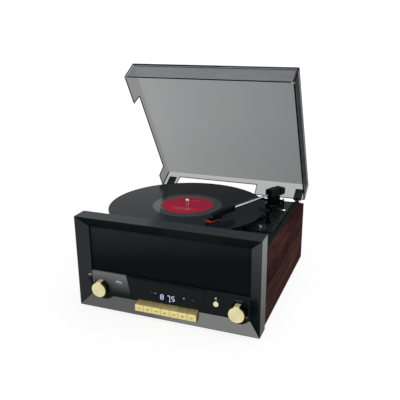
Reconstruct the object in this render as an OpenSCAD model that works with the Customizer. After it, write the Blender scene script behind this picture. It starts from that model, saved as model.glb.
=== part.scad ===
// Stereo music centre: a record deck over a disc player and radio, in a wood-sided cabinet
// with a bevelled front frame and a smoked lid. The lid stands open and a record is playing.
// X runs to the right, Y to the back and Z up from the table.

/* [Cabinet] */
// Width over the two wooden sides
cabinet_w = 318; // [316:1:330]
// Depth from the front plane to the back edge of the sides
cabinet_d = 333; // [333:1:350]
// Height of the wooden sides, without the feet
cabinet_h = 117; // [117:1:122]
// Thickness of the wooden sides
side_t = 12; // [9:1:13]
// Thickness of the bottom board
bottom_t = 9; // [6:1:12]
// Thickness of the back panel
back_t = 5; // [3:1:8]
// Height of the rubber feet
foot_h = 5; // [3:1:10]
// Diameter of the rubber feet
foot_d = 20; // [14:1:26]
// Distance from the sides to the middle of each foot
foot_inset = 26; // [20:1:40]

/* [Front frame] */
// Width of the front frame
frame_w = 323; // [321:1:330]
// Height of the front frame
frame_h = 163; // [163:1:168]
// Depth of the front frame
frame_d = 30; // [29:1:34]
// Width of the bevel round the opening
bevel_w = 19.5; // [18:0.5:22]
// Depth of the bevel
bevel_d = 12; // [9:1:13]
// Width of the flat lip round the outside of the bevel
lip_w = 1; // [0.5:0.5:2]
// Height of the top edge of the control fascia
divide_h = 62.5; // [61:0.5:65]
// Recess of the grille behind the front plane
grille_y = 16; // [15:1:17]
// Thickness of the grille
grille_t = 2.5; // [2:0.5:3]

/* [Controls] */
// Thickness of the control fascia
fascia_t = 3; // [2:0.5:4]
// Distance of each knob from the middle
knob_x = 123; // [118:1:124]
// Height of the knobs' axes
knob_z = 34; // [33.5:0.5:36]
// Diameter of the knobs over their facets
knob_d = 28.5; // [24:0.5:28.5]
// Number of facets round each knob
knob_facets = 10; // [8:1:12]
// Gap between a knob and the fascia
knob_gap = 1; // [0.6:0.1:2]
// Diameter of the knob shafts
shaft_d = 6; // [5:0.5:6.5]
// Width of the row of keys
keys_w = 110.5; // [100:0.5:112]
// Number of keys in the row
key_count = 7; // [7:1:7]
// Gap between neighbouring keys
key_gap = 0.5; // [0.4:0.1:1]
// Height of the lower edge of the keys' faces
key_low = 7; // [6.5:0.5:8]
// Height of the keys' faces
key_face_h = 11.7; // [10:0.1:12]
// Travel of a key or button
key_travel = 1.2; // [0.8:0.1:1.4]
// Distance of the eject button from the middle
eject_x = 85.5; // [84:0.5:92]
// Height of the eject button
eject_z = 40.5; // [39:0.5:42]
// Diameter of the eject button
eject_d = 9.5; // [8:0.5:10]
// Width of the display window
window_w = 52; // [46:1:56]
// Height of the display window
window_h = 13; // [12:0.5:14]
// Height of the middle of the display
window_z = 34; // [33.5:0.5:34.5]
// Diameter of the headphone plug's hole
phones_d = 3.6; // [3.5:0.1:3.8]
// Height of the headphone jack
phones_z = 47; // [42:1:50]

/* [Disc player] */
// Width of the drawer's front at its top edge
drawer_top_w = 136; // [134:1:138]
// Width of the drawer's front at its bottom edge
drawer_low_w = 128; // [128:1:131]
// Height of the lower edge of the drawer's front
drawer_z = 44.5; // [44.5:0.5:45]
// Height of the drawer's front
drawer_h = 15; // [14:0.5:16]
// Diameter of the disc the drawer takes
disc_d = 120; // [120:1:120]
// Travel of the drawer
tray_travel = 125; // [118:1:130]

/* [Record deck] */
// Distance of the record's axis from the middle, to the left
spindle_left = 41; // [38:1:42]
// Distance of the record's axis behind the front plane
spindle_y = 202; // [202:1:206]
// Diameter of the spindle
spindle_d = 7.1; // [7:0.01:7.15]
// Diameter of the hole in the record
record_hole_d = 7.24; // [7.22:0.01:7.3]
// Diameter of the record
record_d = 301; // [298:1:302]
// Thickness of the record
record_t = 1.5; // [1.2:0.1:2]
// Height of the record's playing side over the cabinet sides
record_rise = 15.5; // [15.5:0.5:16]
// Diameter of the platter
platter_d = 198; // [190:1:199]
// Thickness of the slipmat
mat_t = 2; // [1:0.5:2.5]

/* [Tonearm] */
// Distance of the arm's pivot from the middle
pivot_x = 108; // [107:0.5:109]
// Distance of the arm's pivot behind the front plane
pivot_y = 286; // [285:0.5:287]
// Height of the arm tube over the record
arm_rise = 14.5; // [14:0.5:14.5]
// Distance from the pivot to the stylus
arm_reach = 181; // [179:0.5:182]
// Diameter of the arm tube
tube_d = 4.5; // [4:0.1:5]
// Turn of the arm from straight ahead, where the record is playing
arm_turn = 23.6; // [22:0.1:26]
// Turn of the arm on its rest, to the other side
rest_turn = 8; // [7:0.5:9]

/* [Lid] */
// Width of the lid
lid_w = 318; // [314:1:318]
// Depth of the lid
lid_d = 294; // [286:1:296]
// Height of the lid
lid_h = 43; // [43:1:45]
// Thickness of the lid's walls
lid_t = 2.5; // [2:0.1:3]
// Gap between the closed lid and the cabinet
lid_gap = 0.7; // [0.5:0.1:1]
// Reach of the back cut-out to the left of the middle
cut_left = 125; // [122:1:128]
// Reach of the back cut-out to the right of the middle
cut_right = 53; // [46:1:56]
// Half the length of the side notch
notch_half = 98; // [96:1:100]
// Angle at which the lid stands open
lid_open = 59; // [40:1:70]

/* [Hidden] */
$fn = 64;

// Gap between fixed pieces that meet face to face
seat = 0.05;
// Gap round pieces that slide or swing past each other
clear = 0.4;
// Radial gap of a shaft in its bore
fit = 0.05;
// Overlap of a cutting shape past the face it cuts
past = 1;

inner_x = cabinet_w / 2 - side_t;
shell_y = frame_d + seat;
opening_x = frame_w / 2 - bevel_w;
opening_low = bevel_w;
opening_high = frame_h - bevel_w;
fascia_x = opening_x - clear;
fascia_back = bevel_d + fascia_t;
baffle_y = grille_y + grille_t + seat;
baffle_t = 3;
board_y = frame_d + 1;
board_t = 1.6;

key_pitch = keys_w / key_count;
key_back = 26;
key_top_back = 22.3;
key_slot_x = keys_w / 2 + clear;

deck_h = 9;
deck_low = cabinet_h - deck_h;
deck_x = inner_x - seat;
well_depth = 6;
well_floor = cabinet_h - well_depth;
well_r = platter_d / 2 + 5;
spindle_x = -spindle_left;

record_top = cabinet_h + record_rise;
record_low = record_top - record_t;
mat_low = record_low - mat_t;
platter_t = 3.2;
platter_low = mat_low - platter_t;
ring_r = platter_d / 2 - 25;
ring_low = well_floor + 3;
pulley_r = 5;
belt_t = 1.1;
belt_h = 4;
belt_gap = 0.3;
pulley_turn = -60;
pulley_reach = ring_r + pulley_r + 3;
pulley_x = spindle_x + pulley_reach * cos(pulley_turn);
pulley_y = spindle_y + pulley_reach * sin(pulley_turn);

plinth_x0 = 84;
plinth_x1 = 140;
plinth_y0 = 150;
plinth_y1 = cabinet_d - 11;
plinth_top = cabinet_h + 3;
arm_z = record_top + arm_rise;
turret_top = arm_z - 9;
turret_r = 12.5;
yoke_pin_r = 4;
pitch_pin_r = 1.5;
house_x = 7.5;
house_t = 2;
house_front = -17;
house_back = 9;
house_low = arm_z - 6.6;
house_top = arm_z + 9.8;
arm_block_x = house_x - house_t - 1.2;
tube_end = arm_reach - 61;
lift_r = 34;
rest_r = 95;
stylus_gap = 0.3;

lid_x = lid_w / 2;
lid_low = cabinet_h + lid_gap;
lid_top = cabinet_h + lid_h;
lid_front = cabinet_d - lid_d;
hinge_y = cabinet_d + 6.5;
hinge_z = cabinet_h - 5.5;
hinge_pin_r = 2;
hinge_w = 16.5;
hinge_x = [-143, 143];

driver_x = 103;
driver_r = (deck_low - divide_h) * 0.615;
driver_z = divide_h + driver_r - 2.5;
driver_magnet_r = deck_low - clear - driver_z;

drawer_high = drawer_z + drawer_h;
tray_x = 63.5;
tray_low = 47;
tray_top = 52;
tray_y0 = 14.7;
tray_d = tray_travel + 21;
disc_y = tray_y0 + 3 + disc_d / 2 + 1;
slot_x = 22;
hub_shaft_r = 1.5;
rod_x = 14;
rod_z = 39;
rod_r = 1.5;
phones_x = -145.8;
phones_r = 3;
usb_x = -91.5;
usb_z = 46.5;

line_out_x = [-105, -87];
barrel_r = 4.15;
barrel_len = 9;
collar_r = 4.8;
line_out_z = 40;
inlet_x = 104;
inlet_z = 30;
back_screws = [for (x = [-inner_x + 9, inner_x - 9]) for (z = [20, deck_low - 38]) [x, z],
    [0, 20], [0, deck_low - 4]];

lever_turn = 20;
lever_x = pivot_x + 16;
lever_y = pivot_y - 3;
lever_z = arm_z - 14;
lever_pin_r = 1.5;
ear_x = 4;
lift_x = pivot_x + 2;
lift_y = pivot_y - lift_r;
ribs = 4;
rib_pitch = 7;
transit_x = pivot_x + 14.7;
transit_y = lift_y - 25;
speed_x = 114;
speed_y = 166;

head_turn = -4;
head_x = 5.5;
head_len = 57;
neck = 28;

rest_x = pivot_x + rest_r * sin(rest_turn);
rest_y = pivot_y - rest_r * cos(rest_turn);
clip_x = tube_d / 2 + 3.2;
clip_z = arm_z + tube_d / 2 + 1.3;
clip_pin_r = 0.9;

// Puts pieces in the cabinet's place: Y from its front plane, Z from its underside
module at_cabinet() translate([0, -cabinet_d / 2, foot_h]) children();

// A box between two opposite corners
module block(low, high) translate(low) cube(high - low);

// A bar whose outline lies in the front plane, X across and Z up
module front_prism(points, y0, y1)
    translate([0, y1, 0]) rotate([90, 0, 0]) linear_extrude(y1 - y0) polygon(points);

// A bar whose outline lies in the side plane, Y across and Z up
module side_prism(points, x0, x1)
    translate([x0, 0, 0]) rotate([90, 0, 90]) linear_extrude(x1 - x0) polygon(points);

// A cylinder along Y
module front_cylinder(x, z, r, y0, y1)
    translate([x, y1, z]) rotate([90, 0, 0]) cylinder(r = r, h = y1 - y0);

// A shape revolved about an axis along Y, drawn as radius and distance from y0 to the back
module front_revolve(x, z, y0, points)
    translate([x, y0, z]) rotate([-90, 0, 0]) rotate_extrude() polygon(points);

// A rectangle with round corners between two opposite corners
module round_rect(low, high, r) {
    translate([low[0] + r, low[1]]) square([high[0] - low[0] - 2 * r, high[1] - low[1]]);
    translate([low[0], low[1] + r]) square([high[0] - low[0], high[1] - low[1] - 2 * r]);
    for (x = [low[0] + r, high[0] - r], y = [low[1] + r, high[1] - r])
        translate([x, y]) circle(r);
}

// A plate with round upright edges
module round_plate(low, high, r)
    translate([0, 0, low[2]]) linear_extrude(high[2] - low[2]) round_rect(low, high, r);

// Pieces drawn about the arm's pivot, pointing at -Y, turned by an angle
module at_pivot(turn) translate([pivot_x, pivot_y, 0]) rotate([0, 0, turn]) children();

module at_arm() at_cabinet() at_pivot(-arm_turn) children();

// The bevelled surround: a frustum sinks from the lip to the opening
module front_frame() color("#30353a") at_cabinet() difference() {
    union() {
        difference() {
            block([-frame_w / 2, 0, 0], [frame_w / 2, frame_d, frame_h]);
            hull() {
                block([-frame_w / 2 + lip_w, -past, lip_w],
                    [frame_w / 2 - lip_w, 0, frame_h - lip_w]);
                block([-opening_x, -past, opening_low], [opening_x, bevel_d, opening_high]);
            }
            block([-opening_x, -past, opening_low], [opening_x, frame_d + past, opening_high]);
        }
        block([-opening_x - past, baffle_y, divide_h],
            [opening_x + past, baffle_y + baffle_t, opening_high + past]);
        // Wall that closes the frame's back above the deck
        block([-opening_x - past, frame_d - baffle_t, cabinet_h + clear],
            [opening_x + past, frame_d, opening_high + past]);
    }
    for (side = [-1, 1])
        front_cylinder(side * driver_x, driver_z, driver_r - 4, baffle_y - past,
            baffle_y + baffle_t + past);
    block([-key_slot_x, -past, key_low - clear],
        [key_slot_x, frame_d + past, opening_low + past]);
    front_cylinder(phones_x, phones_z, phones_r + fit, -past, frame_d + past);
}

// Black cloth panel with a raised hem, hollowed behind for the drivers
module speaker_grille() color("#17191c") at_cabinet() {
    rim = 3;
    difference() {
        block([-opening_x + clear, grille_y, divide_h + seat],
            [opening_x - clear, grille_y + grille_t, opening_high - clear]);
        for (side = [-1, 1])
            front_cylinder(side * driver_x, driver_z, driver_r - 4, grille_y + 1,
                grille_y + grille_t + past);
    }
    // A raised hem runs round the cloth
    difference() {
        block([-opening_x + clear, grille_y - 0.6, divide_h + seat],
            [opening_x - clear, grille_y, opening_high - clear]);
        block([-opening_x + clear + rim, grille_y - past, divide_h + rim],
            [opening_x - clear - rim, grille_y + past, opening_high - clear - rim]);
    }
}

// Two round drivers: flange, basket and magnet behind, cone and dust cap in front
module speakers() color("#3a3a3c") at_cabinet() {
    y0 = baffle_y + baffle_t + seat;
    basket_d = 14;
    magnet_d = 11;
    for (side = [-1, 1])
        front_revolve(side * driver_x, driver_z, y0, [
            [0, 6], [6, 6], [8, 9], [driver_r - 5, 1.5], [driver_r - 4, 0], [driver_r, 0],
            [driver_r, 2.5], [driver_r - 4, 2.5],
            [driver_magnet_r - 4, basket_d], [driver_magnet_r, basket_d],
            [driver_magnet_r, basket_d + magnet_d], [0, basket_d + magnet_d]]);
}

// Outline of the drawer's front, grown by a gap
module drawer_outline(gap) polygon([
    [-drawer_low_w / 2 - gap, drawer_z - gap], [drawer_low_w / 2 + gap, drawer_z - gap],
    [drawer_top_w / 2 + gap, drawer_high + gap], [-drawer_top_w / 2 - gap, drawer_high + gap]]);

// Glossy panel that carries the controls, with a sunk bay round the drawer
module control_fascia() color("#1c2024") at_cabinet() {
    bay_depth = 0.8;
    difference() {
        block([-fascia_x, bevel_d, opening_low + clear], [fascia_x, fascia_back, divide_h]);
        translate([0, bevel_d + bay_depth, 0]) rotate([90, 0, 0])
            linear_extrude(bay_depth + past) polygon([[-67, opening_low], [67, opening_low],
                [76, divide_h - 1], [-76, divide_h - 1]]);
        translate([0, fascia_back + past, 0]) rotate([90, 0, 0])
            linear_extrude(fascia_t + 2 * past) drawer_outline(clear);
        block([-window_w / 2, bevel_d - past, window_z - window_h / 2],
            [window_w / 2, fascia_back + past, window_z + window_h / 2]);
        for (side = [-1, 1])
            front_cylinder(side * knob_x, knob_z, shaft_d / 2 + 1, bevel_d - past,
                fascia_back + past);
        front_cylinder(eject_x, eject_z, eject_d / 2 + clear, bevel_d - past,
            fascia_back + past);
        block([usb_x - 7, bevel_d - past, usb_z - 3.3], [usb_x + 7, fascia_back + past,
            usb_z + 3.3]);
        block([-key_slot_x, bevel_d - past, 0], [key_slot_x, fascia_back + past,
            key_top_back + clear]);
    }
    // Shelf that closes the step up to the grille
    block([-fascia_x, fascia_back - past, divide_h - 2], [fascia_x, grille_y - clear - 0.6,
        divide_h]);
}

// Dark lens set in the fascia before the digits
module display_window() color("#101018") at_cabinet()
    block([-window_w / 2 + seat, bevel_d + 1, window_z - window_h / 2 + seat],
        [window_w / 2 - seat, fascia_back, window_z + window_h / 2 - seat]);

// Printed board behind the fascia, with the display block, two rotary controls and switches
module control_board() color("#1f4a30") at_cabinet() {
    board_x = inner_x - 13;
    wing_x = 80;
    pot_w = 16;
    pot_d = 9;
    switch_w = 6;
    difference() {
        block([-board_x, board_y, bottom_t + 1], [board_x, board_y + board_t, divide_h - 1]);
        block([-wing_x, board_y - past, drawer_z - 2], [wing_x, board_y + board_t + past,
            divide_h]);
    }
    // Display block with its digits
    block([-window_w / 2 + 2, fascia_back + clear, window_z - window_h / 2 + past],
        [window_w / 2 - 2, board_y, window_z + window_h / 2 - past]);
    // Rotary controls
    for (side = [-1, 1]) difference() {
        union() {
            block([side * knob_x - pot_w / 2, board_y - pot_d, knob_z - pot_w / 2 + 2],
                [side * knob_x + pot_w / 2, board_y, knob_z + pot_w / 2]);
            front_cylinder(side * knob_x, knob_z, shaft_d / 2 + 1.5, fascia_back + seat,
                board_y - pot_d + past);
        }
        front_cylinder(side * knob_x, knob_z, shaft_d / 2 + fit, 0, board_y - 2);
    }
    // Push switches behind the keys and the eject button
    for (i = [0 : key_count - 1])
        block([key_x(i) - switch_w / 2, key_back + key_travel + clear, 12],
            [key_x(i) + switch_w / 2, board_y, 12 + switch_w]);
    block([eject_x - switch_w / 2, key_back + key_travel + clear, eject_z - switch_w / 2],
        [eject_x + switch_w / 2, board_y, eject_z + switch_w / 2]);
}

// Veneered board from the frame to the back, mirrored for the other side
module side_panel(side) at_cabinet()
    block([side > 0 ? inner_x : -cabinet_w / 2, shell_y, 0],
        [side > 0 ? cabinet_w / 2 : -inner_x, cabinet_d, cabinet_h]);

module left_side_panel() color("#4a2c28") side_panel(-1);

module right_side_panel() color("#4a2c28") side_panel(1);

module bottom_board() color("#3a3330") at_cabinet()
    block([-inner_x + seat, shell_y, 0], [inner_x - seat, cabinet_d - back_t - seat, bottom_t]);

// Back panel with vent slots and holes for the sockets
module back_panel() color("#222427") at_cabinet() {
    y0 = cabinet_d - back_t;
    slots = 9;
    slot_w = 3;
    difference() {
        block([-inner_x + seat, y0, 0], [inner_x - seat, cabinet_d, deck_low - seat]);
        for (i = [0 : slots - 1]) for (x = [-30, 30])
            round_slot(x - 22, x + 22, 62 + i * 4.4 + slot_w / 2, y0);
        inlet_outline(clear, y0 - past, cabinet_d + past);
        for (x = line_out_x)
            front_cylinder(x, line_out_z, collar_r + clear, y0 - past, cabinet_d + past);
        for (p = back_screws)
            front_cylinder(p[0], p[1], 1.6, y0 - past, cabinet_d + past);
    }
}

// A horizontal slot with round ends through the back panel
module round_slot(x0, x1, z, y0) {
    r = 1.5;
    block([x0, y0 - past, z - r], [x1, cabinet_d + past, z + r]);
    for (x = [x0, x1]) front_cylinder(x, z, r, y0 - past, cabinet_d + past);
}

// Figure-of-eight outline of the mains inlet along Y
module inlet_outline(gap, y0, y1) {
    lobe_r = 5.5;
    lobe_x = 5;
    for (side = [-1, 1])
        front_cylinder(inlet_x + side * lobe_x, inlet_z, lobe_r + gap, y0, y1);
    block([inlet_x - lobe_x, y0, inlet_z - lobe_r - gap], [inlet_x + lobe_x, y1,
        inlet_z + lobe_r + gap]);
}

module rubber_feet() color("#1a1a1a") at_cabinet()
    for (x = [-1, 1] * (cabinet_w / 2 - foot_inset),
         y = [frame_d + foot_inset, cabinet_d - foot_inset])
        translate([x, y, -foot_h]) rotate_extrude() polygon([[0, 0], [foot_d / 2 - 1, 0],
            [foot_d / 2, 1], [foot_d / 2 - 1, foot_h - seat], [0, foot_h - seat]]);

// Pan-head screws in the back panel and the deck
module cabinet_screws() color("#8a8d90") {
    head_r = 3;
    head_h = 1.8;
    at_cabinet() for (p = back_screws) {
        front_cylinder(p[0], p[1], 1.5, cabinet_d - 9, cabinet_d + seat);
        front_revolve(p[0], p[1], cabinet_d + seat, [[0, 0], [head_r, 0],
            [head_r - 0.4, head_h - 0.8], [head_r - 1.4, head_h], [0, head_h]]);
    }
}

// Faceted knob with a round, chamfered face and a D-shaped bore
module knob(x) {
    face_y = -1.5;
    back_y = bevel_d - knob_gap;
    depth = back_y - face_y;
    r = knob_d / 2;
    at_cabinet() difference() {
        intersection() {
            translate([x, back_y, knob_z]) rotate([90, 0, 0])
                cylinder(r = r / cos(180 / knob_facets) * 0.985, h = depth, $fn = knob_facets);
            front_revolve(x, knob_z, face_y, [[0, 0.5], [r - 3, 0.3], [r - 2.2, 0],
                [r - 1.2, 0], [r + 1, 2.2], [r + 1, depth], [0, depth]]);
        }
        difference() {
            front_cylinder(x, knob_z, shaft_d / 2 + fit, face_y + 4, back_y + past);
            block([x - shaft_d, face_y, knob_z + shaft_d / 4 + fit],
                [x + shaft_d, back_y - 2, knob_z + shaft_d]);
        }
    }
}

// Metal shaft, flatted where the knob grips it
module knob_shaft(x) at_cabinet() difference() {
    front_cylinder(x, knob_z, shaft_d / 2, 3, board_y - 3);
    block([x - shaft_d, 2, knob_z + shaft_d / 4], [x + shaft_d, bevel_d - knob_gap - 2,
        knob_z + shaft_d]);
}

module volume_knob() color("#d8b65a") knob(knob_x);

module volume_shaft() color("#b0b2b5") knob_shaft(knob_x);

module tuning_knob() color("#d8b65a") knob(-knob_x);

module tuning_shaft() color("#b0b2b5") knob_shaft(-knob_x);

// Middle of each key
function key_x(i) = (i + 0.5) * key_pitch - keys_w / 2;

// A key: a long cap whose face lies in the front plane and whose top slopes up to the fascia
module panel_key(i) color("#d8b65a") at_cabinet()
    side_prism([[0, key_low + 0.6], [0.6, key_low], [key_back, key_low],
        [key_back, key_top_back], [bevel_d, key_top_back], [0.6, key_low + key_face_h],
        [0, key_low + key_face_h - 0.6]],
        key_x(i) - key_pitch / 2 + key_gap / 2, key_x(i) + key_pitch / 2 - key_gap / 2);

module key_source() panel_key(0);

module key_mode() panel_key(1);

module key_previous() panel_key(2);

module key_next() panel_key(3);

module key_play() panel_key(4);

module key_stop() panel_key(5);

module key_standby() panel_key(6);

// Round push button with a dished face and a stem
module eject_button() color("#d8b65a") at_cabinet() {
    r = eject_d / 2;
    face_y = bevel_d - 2.5;
    front_revolve(eject_x, eject_z, face_y, [[0, 0.4], [r - 1, 0], [r - 0.5, 0], [r, 0.5],
        [r, fascia_t + 6], [2.5, fascia_t + 6], [2.5, key_back - face_y],
        [0, key_back - face_y]]);
}

// Threaded ring on the bevel and a body behind the frame
module headphone_jack() color("#16181a") at_cabinet() {
    front = bevel_d * (frame_w / 2 - lip_w + phones_x) / (bevel_w - lip_w) - 1.5;
    difference() {
        union() {
            front_cylinder(phones_x, phones_z, phones_r, front, frame_d);
            block([clear - inner_x, frame_d - past, phones_z - 1.9], [phones_x + 2.2,
                shell_y + past, phones_z + 1.9]);
            block([clear - inner_x, shell_y, phones_z - 5], [phones_x + 10, frame_d + 14,
                phones_z + 5]);
        }
        front_cylinder(phones_x, phones_z, phones_d / 2, front - past, front + 15);
    }
}

// Metal shell with a plastic tongue, on a small stand on the board
module usb_socket() color("#9a9da0") at_cabinet() {
    shell_x = 6.6;
    shell_z = 2.9;
    wall = 0.4;
    difference() {
        block([usb_x - shell_x, bevel_d + 0.3, usb_z - shell_z],
            [usb_x + shell_x, board_y - seat, usb_z + shell_z]);
        block([usb_x - shell_x + wall, bevel_d - past, usb_z - shell_z + wall],
            [usb_x + shell_x - wall, board_y - 5, usb_z + shell_z - wall]);
    }
    block([usb_x - 5.6, bevel_d + 1.5, usb_z + 0.3], [usb_x + 5.6, board_y - 4, usb_z + 2.2]);
}

// Loader frame: floor and walls round the tray, four legs, and a bridge with the clamp
module cd_chassis() color("#2a2c2e") at_cabinet() {
    x1 = tray_x + clear;
    wall = 3;
    y0 = board_y + board_t + clear + 1;
    y1 = tray_y0 + tray_d + 10;
    floor_z = 32;
    bridge_z = tray_top + 6;
    difference() {
        block([-x1 - wall, y0, floor_z], [x1 + wall, y1, tray_top + 4]);
        block([-x1, y0 - past, floor_z + 3], [x1, y1 - wall, tray_top + 4 + past]);
    }
    // Rails that the tray slides on
    for (side = [-1, 1]) {
        a = side * (x1 + past);
        b = side * (tray_x - 4);
        block([min(a, b), y0, tray_low - 3], [max(a, b), y1 - wall, tray_low - seat * 4]);
    }
    // Legs
    for (x = [-1, 1] * (x1 + wall - 6), y = [y0 + 8, y1 - 8])
        translate([x, y, bottom_t + seat]) cylinder(r = 4, h = floor_z - bottom_t + past);
    // Bridge over the disc with its clamp
    difference() {
        block([-x1 - wall, disc_y - 14, tray_top + 3], [x1 + wall, disc_y + 14, bridge_z + 2]);
        block([-x1, disc_y - 15, tray_top + 2], [x1, disc_y + 15, bridge_z]);
    }
    translate([0, disc_y, tray_top + 3.2]) cylinder(r = 11, h = bridge_z - tray_top - 2);
    // Spindle motor under the hub
    difference() {
        translate([0, disc_y, floor_z + 2]) cylinder(r = 11, h = 9);
        translate([0, disc_y, floor_z + 4]) cylinder(r = hub_shaft_r + fit, h = 9);
    }
    // Rods of the laser sled, between two walls
    for (x = [-1, 1] * rod_x) front_cylinder(x, rod_z, rod_r, disc_y + 14, disc_y + 74);
    for (y = [disc_y + 13, disc_y + 73]) block([-rod_x - 4, y, floor_z + 2],
        [rod_x + 4, y + 2, rod_z + 2.5]);
}

// Tray with a disc recess and a slot to the back for the hub and the laser
module cd_tray() color("#202225") at_cabinet() difference() {
    block([-tray_x, tray_y0 + 3, tray_low], [tray_x, tray_y0 + tray_d, tray_top]);
    translate([0, disc_y, tray_top - 2.5]) cylinder(r = disc_d / 2 + 0.5, h = 5);
    block([-slot_x, disc_y - slot_x, tray_low - past], [slot_x, tray_y0 + tray_d + past,
        tray_top + past]);
}

// Drawer front: the trapezoid face that closes the slot, on the tray's end
module cd_drawer_front() color("#1c2024") at_cabinet()
    translate([0, tray_y0 + 3 - seat, 0]) rotate([90, 0, 0])
        linear_extrude(tray_y0 + 3 - seat - bevel_d + 0.3) drawer_outline(0);

// Hub that turns the disc
module cd_hub() color("#c8cacc") at_cabinet() translate([0, disc_y, 0]) rotate_extrude()
    polygon([[0, tray_low - 10], [hub_shaft_r, tray_low - 10], [hub_shaft_r, tray_low - 3],
        [14, tray_low - 3], [14, tray_low - 0.5], [7.4, tray_low - 0.5],
        [7.2, tray_low + 1.5], [5, tray_low + 3], [0, tray_low + 3]]);

// Laser sled with its lens, on two rods
module laser_sled() color("#6a6e72") at_cabinet() {
    y = disc_y + 28;
    half = 9;
    difference() {
        block([-rod_x - 4, y - half, rod_z - 2.5], [rod_x + 4, y + half, rod_z + 2.5]);
        for (x = [-1, 1] * rod_x)
            front_cylinder(x, rod_z, rod_r + fit, y - half - past, y + half + past);
    }
    block([-8, y - half + 2, rod_z + 2], [8, y + half - 2, rod_z + 6.5]);
    translate([0, y, rod_z + 6]) cylinder(r = 3, h = 1.8);
}

// Power and amplifier board, with a heat sink, capacitors and sockets' leads
module main_board() color("#1f4a30") at_cabinet() {
    x0 = -inner_x + 17;
    x1 = x0 + 180;
    y1 = cabinet_d - back_t - 10;
    y0 = y1 - 106;
    z0 = bottom_t + 6;
    post_in = 8;
    fin_t = 2;
    fin_pitch = 6;
    fin_d = 32;
    fin_h = 28;
    fins = 7;
    sink_x = x0 + 20;
    sink_y = y0 + 18;
    cap_x = x0 + 110;
    block([x0, y0, z0], [x1, y1, z0 + board_t]);
    for (x = [x0 + post_in, x1 - post_in], y = [y0 + post_in, y1 - post_in])
        translate([x, y, bottom_t + seat]) cylinder(r = 3, h = z0 - bottom_t + past);
    // Heat sink with upright fins on a web
    for (i = [0 : fins - 1]) block([sink_x + i * fin_pitch, sink_y, z0 + past],
        [sink_x + i * fin_pitch + fin_t, sink_y + fin_d, z0 + fin_h]);
    block([sink_x, sink_y + fin_d / 2 - 2, z0 + past],
        [sink_x + (fins - 1) * fin_pitch + fin_t, sink_y + fin_d / 2 + 2, z0 + fin_h - 4]);
    // Capacitors: two large ones and two small ones behind them
    for (x = [cap_x, cap_x + 24])
        translate([x, y0 + 28, z0 + past]) cylinder(r = 8, h = 26);
    for (x = [cap_x, cap_x + 28])
        translate([x, y0 + 70, z0 + past]) cylinder(r = 5, h = 14);
}

// Mains transformer: laminated core, winding and mounting ears
module transformer() color("#7c6a4a") at_cabinet() {
    x = inner_x - 49;
    y = cabinet_d - 71;
    z0 = bottom_t + seat;
    core_x = 24;
    core_y = 12;
    core_h = 40;
    yoke_t = 8;
    coil_x = 15.5;
    coil_y = 18;
    ear_reach = 34;
    ear_t = 2;
    difference() {
        block([x - core_x, y - core_y, z0], [x + core_x, y + core_y, z0 + core_h]);
        for (side = [-1, 1]) block([x + side * core_x / 2 - yoke_t / 2, y - core_y - past,
            z0 + yoke_t], [x + side * core_x / 2 + yoke_t / 2, y + core_y + past,
            z0 + core_h - yoke_t]);
    }
    block([x - coil_x, y - coil_y, z0 + yoke_t + past], [x + coil_x, y + coil_y,
        z0 + core_h - yoke_t - past]);
    block([x - ear_reach, y - yoke_t, z0], [x + ear_reach, y + yoke_t, z0 + ear_t]);
}

// Figure-of-eight mains inlet with two pins
module mains_inlet() color("#141516") at_cabinet() {
    difference() {
        union() {
            inlet_outline(0, cabinet_d - 22, cabinet_d + 0.8);
            block([inlet_x - 15, cabinet_d - back_t - 2.5, inlet_z - 9],
                [inlet_x + 15, cabinet_d - back_t - seat, inlet_z + 9]);
        }
        for (side = [-1, 1])
            front_cylinder(inlet_x + side * 4.3, inlet_z, 3.9, cabinet_d - 12, cabinet_d + 2);
        block([inlet_x - 4.3, cabinet_d - 12, inlet_z - 3.9], [inlet_x + 4.3, cabinet_d + 2,
            inlet_z + 3.9]);
    }
    for (side = [-1, 1])
        front_cylinder(inlet_x + side * 4.3, inlet_z, 1.2, cabinet_d - 14, cabinet_d - 2);
}

// Two phono sockets on one moulding
module line_out_sockets() color("#b8babd") at_cabinet() {
    y0 = cabinet_d - back_t;
    block([line_out_x[0] - 8, y0 - 12, line_out_z - 8], [line_out_x[1] + 8, y0 - seat,
        line_out_z + 8]);
    for (x = line_out_x) difference() {
        union() {
            front_cylinder(x, line_out_z, collar_r, y0 - past, cabinet_d);
            front_cylinder(x, line_out_z, barrel_r, cabinet_d - past, cabinet_d + barrel_len);
        }
        front_cylinder(x, line_out_z, 1.7, cabinet_d - past, cabinet_d + barrel_len + past);
    }
}

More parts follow.
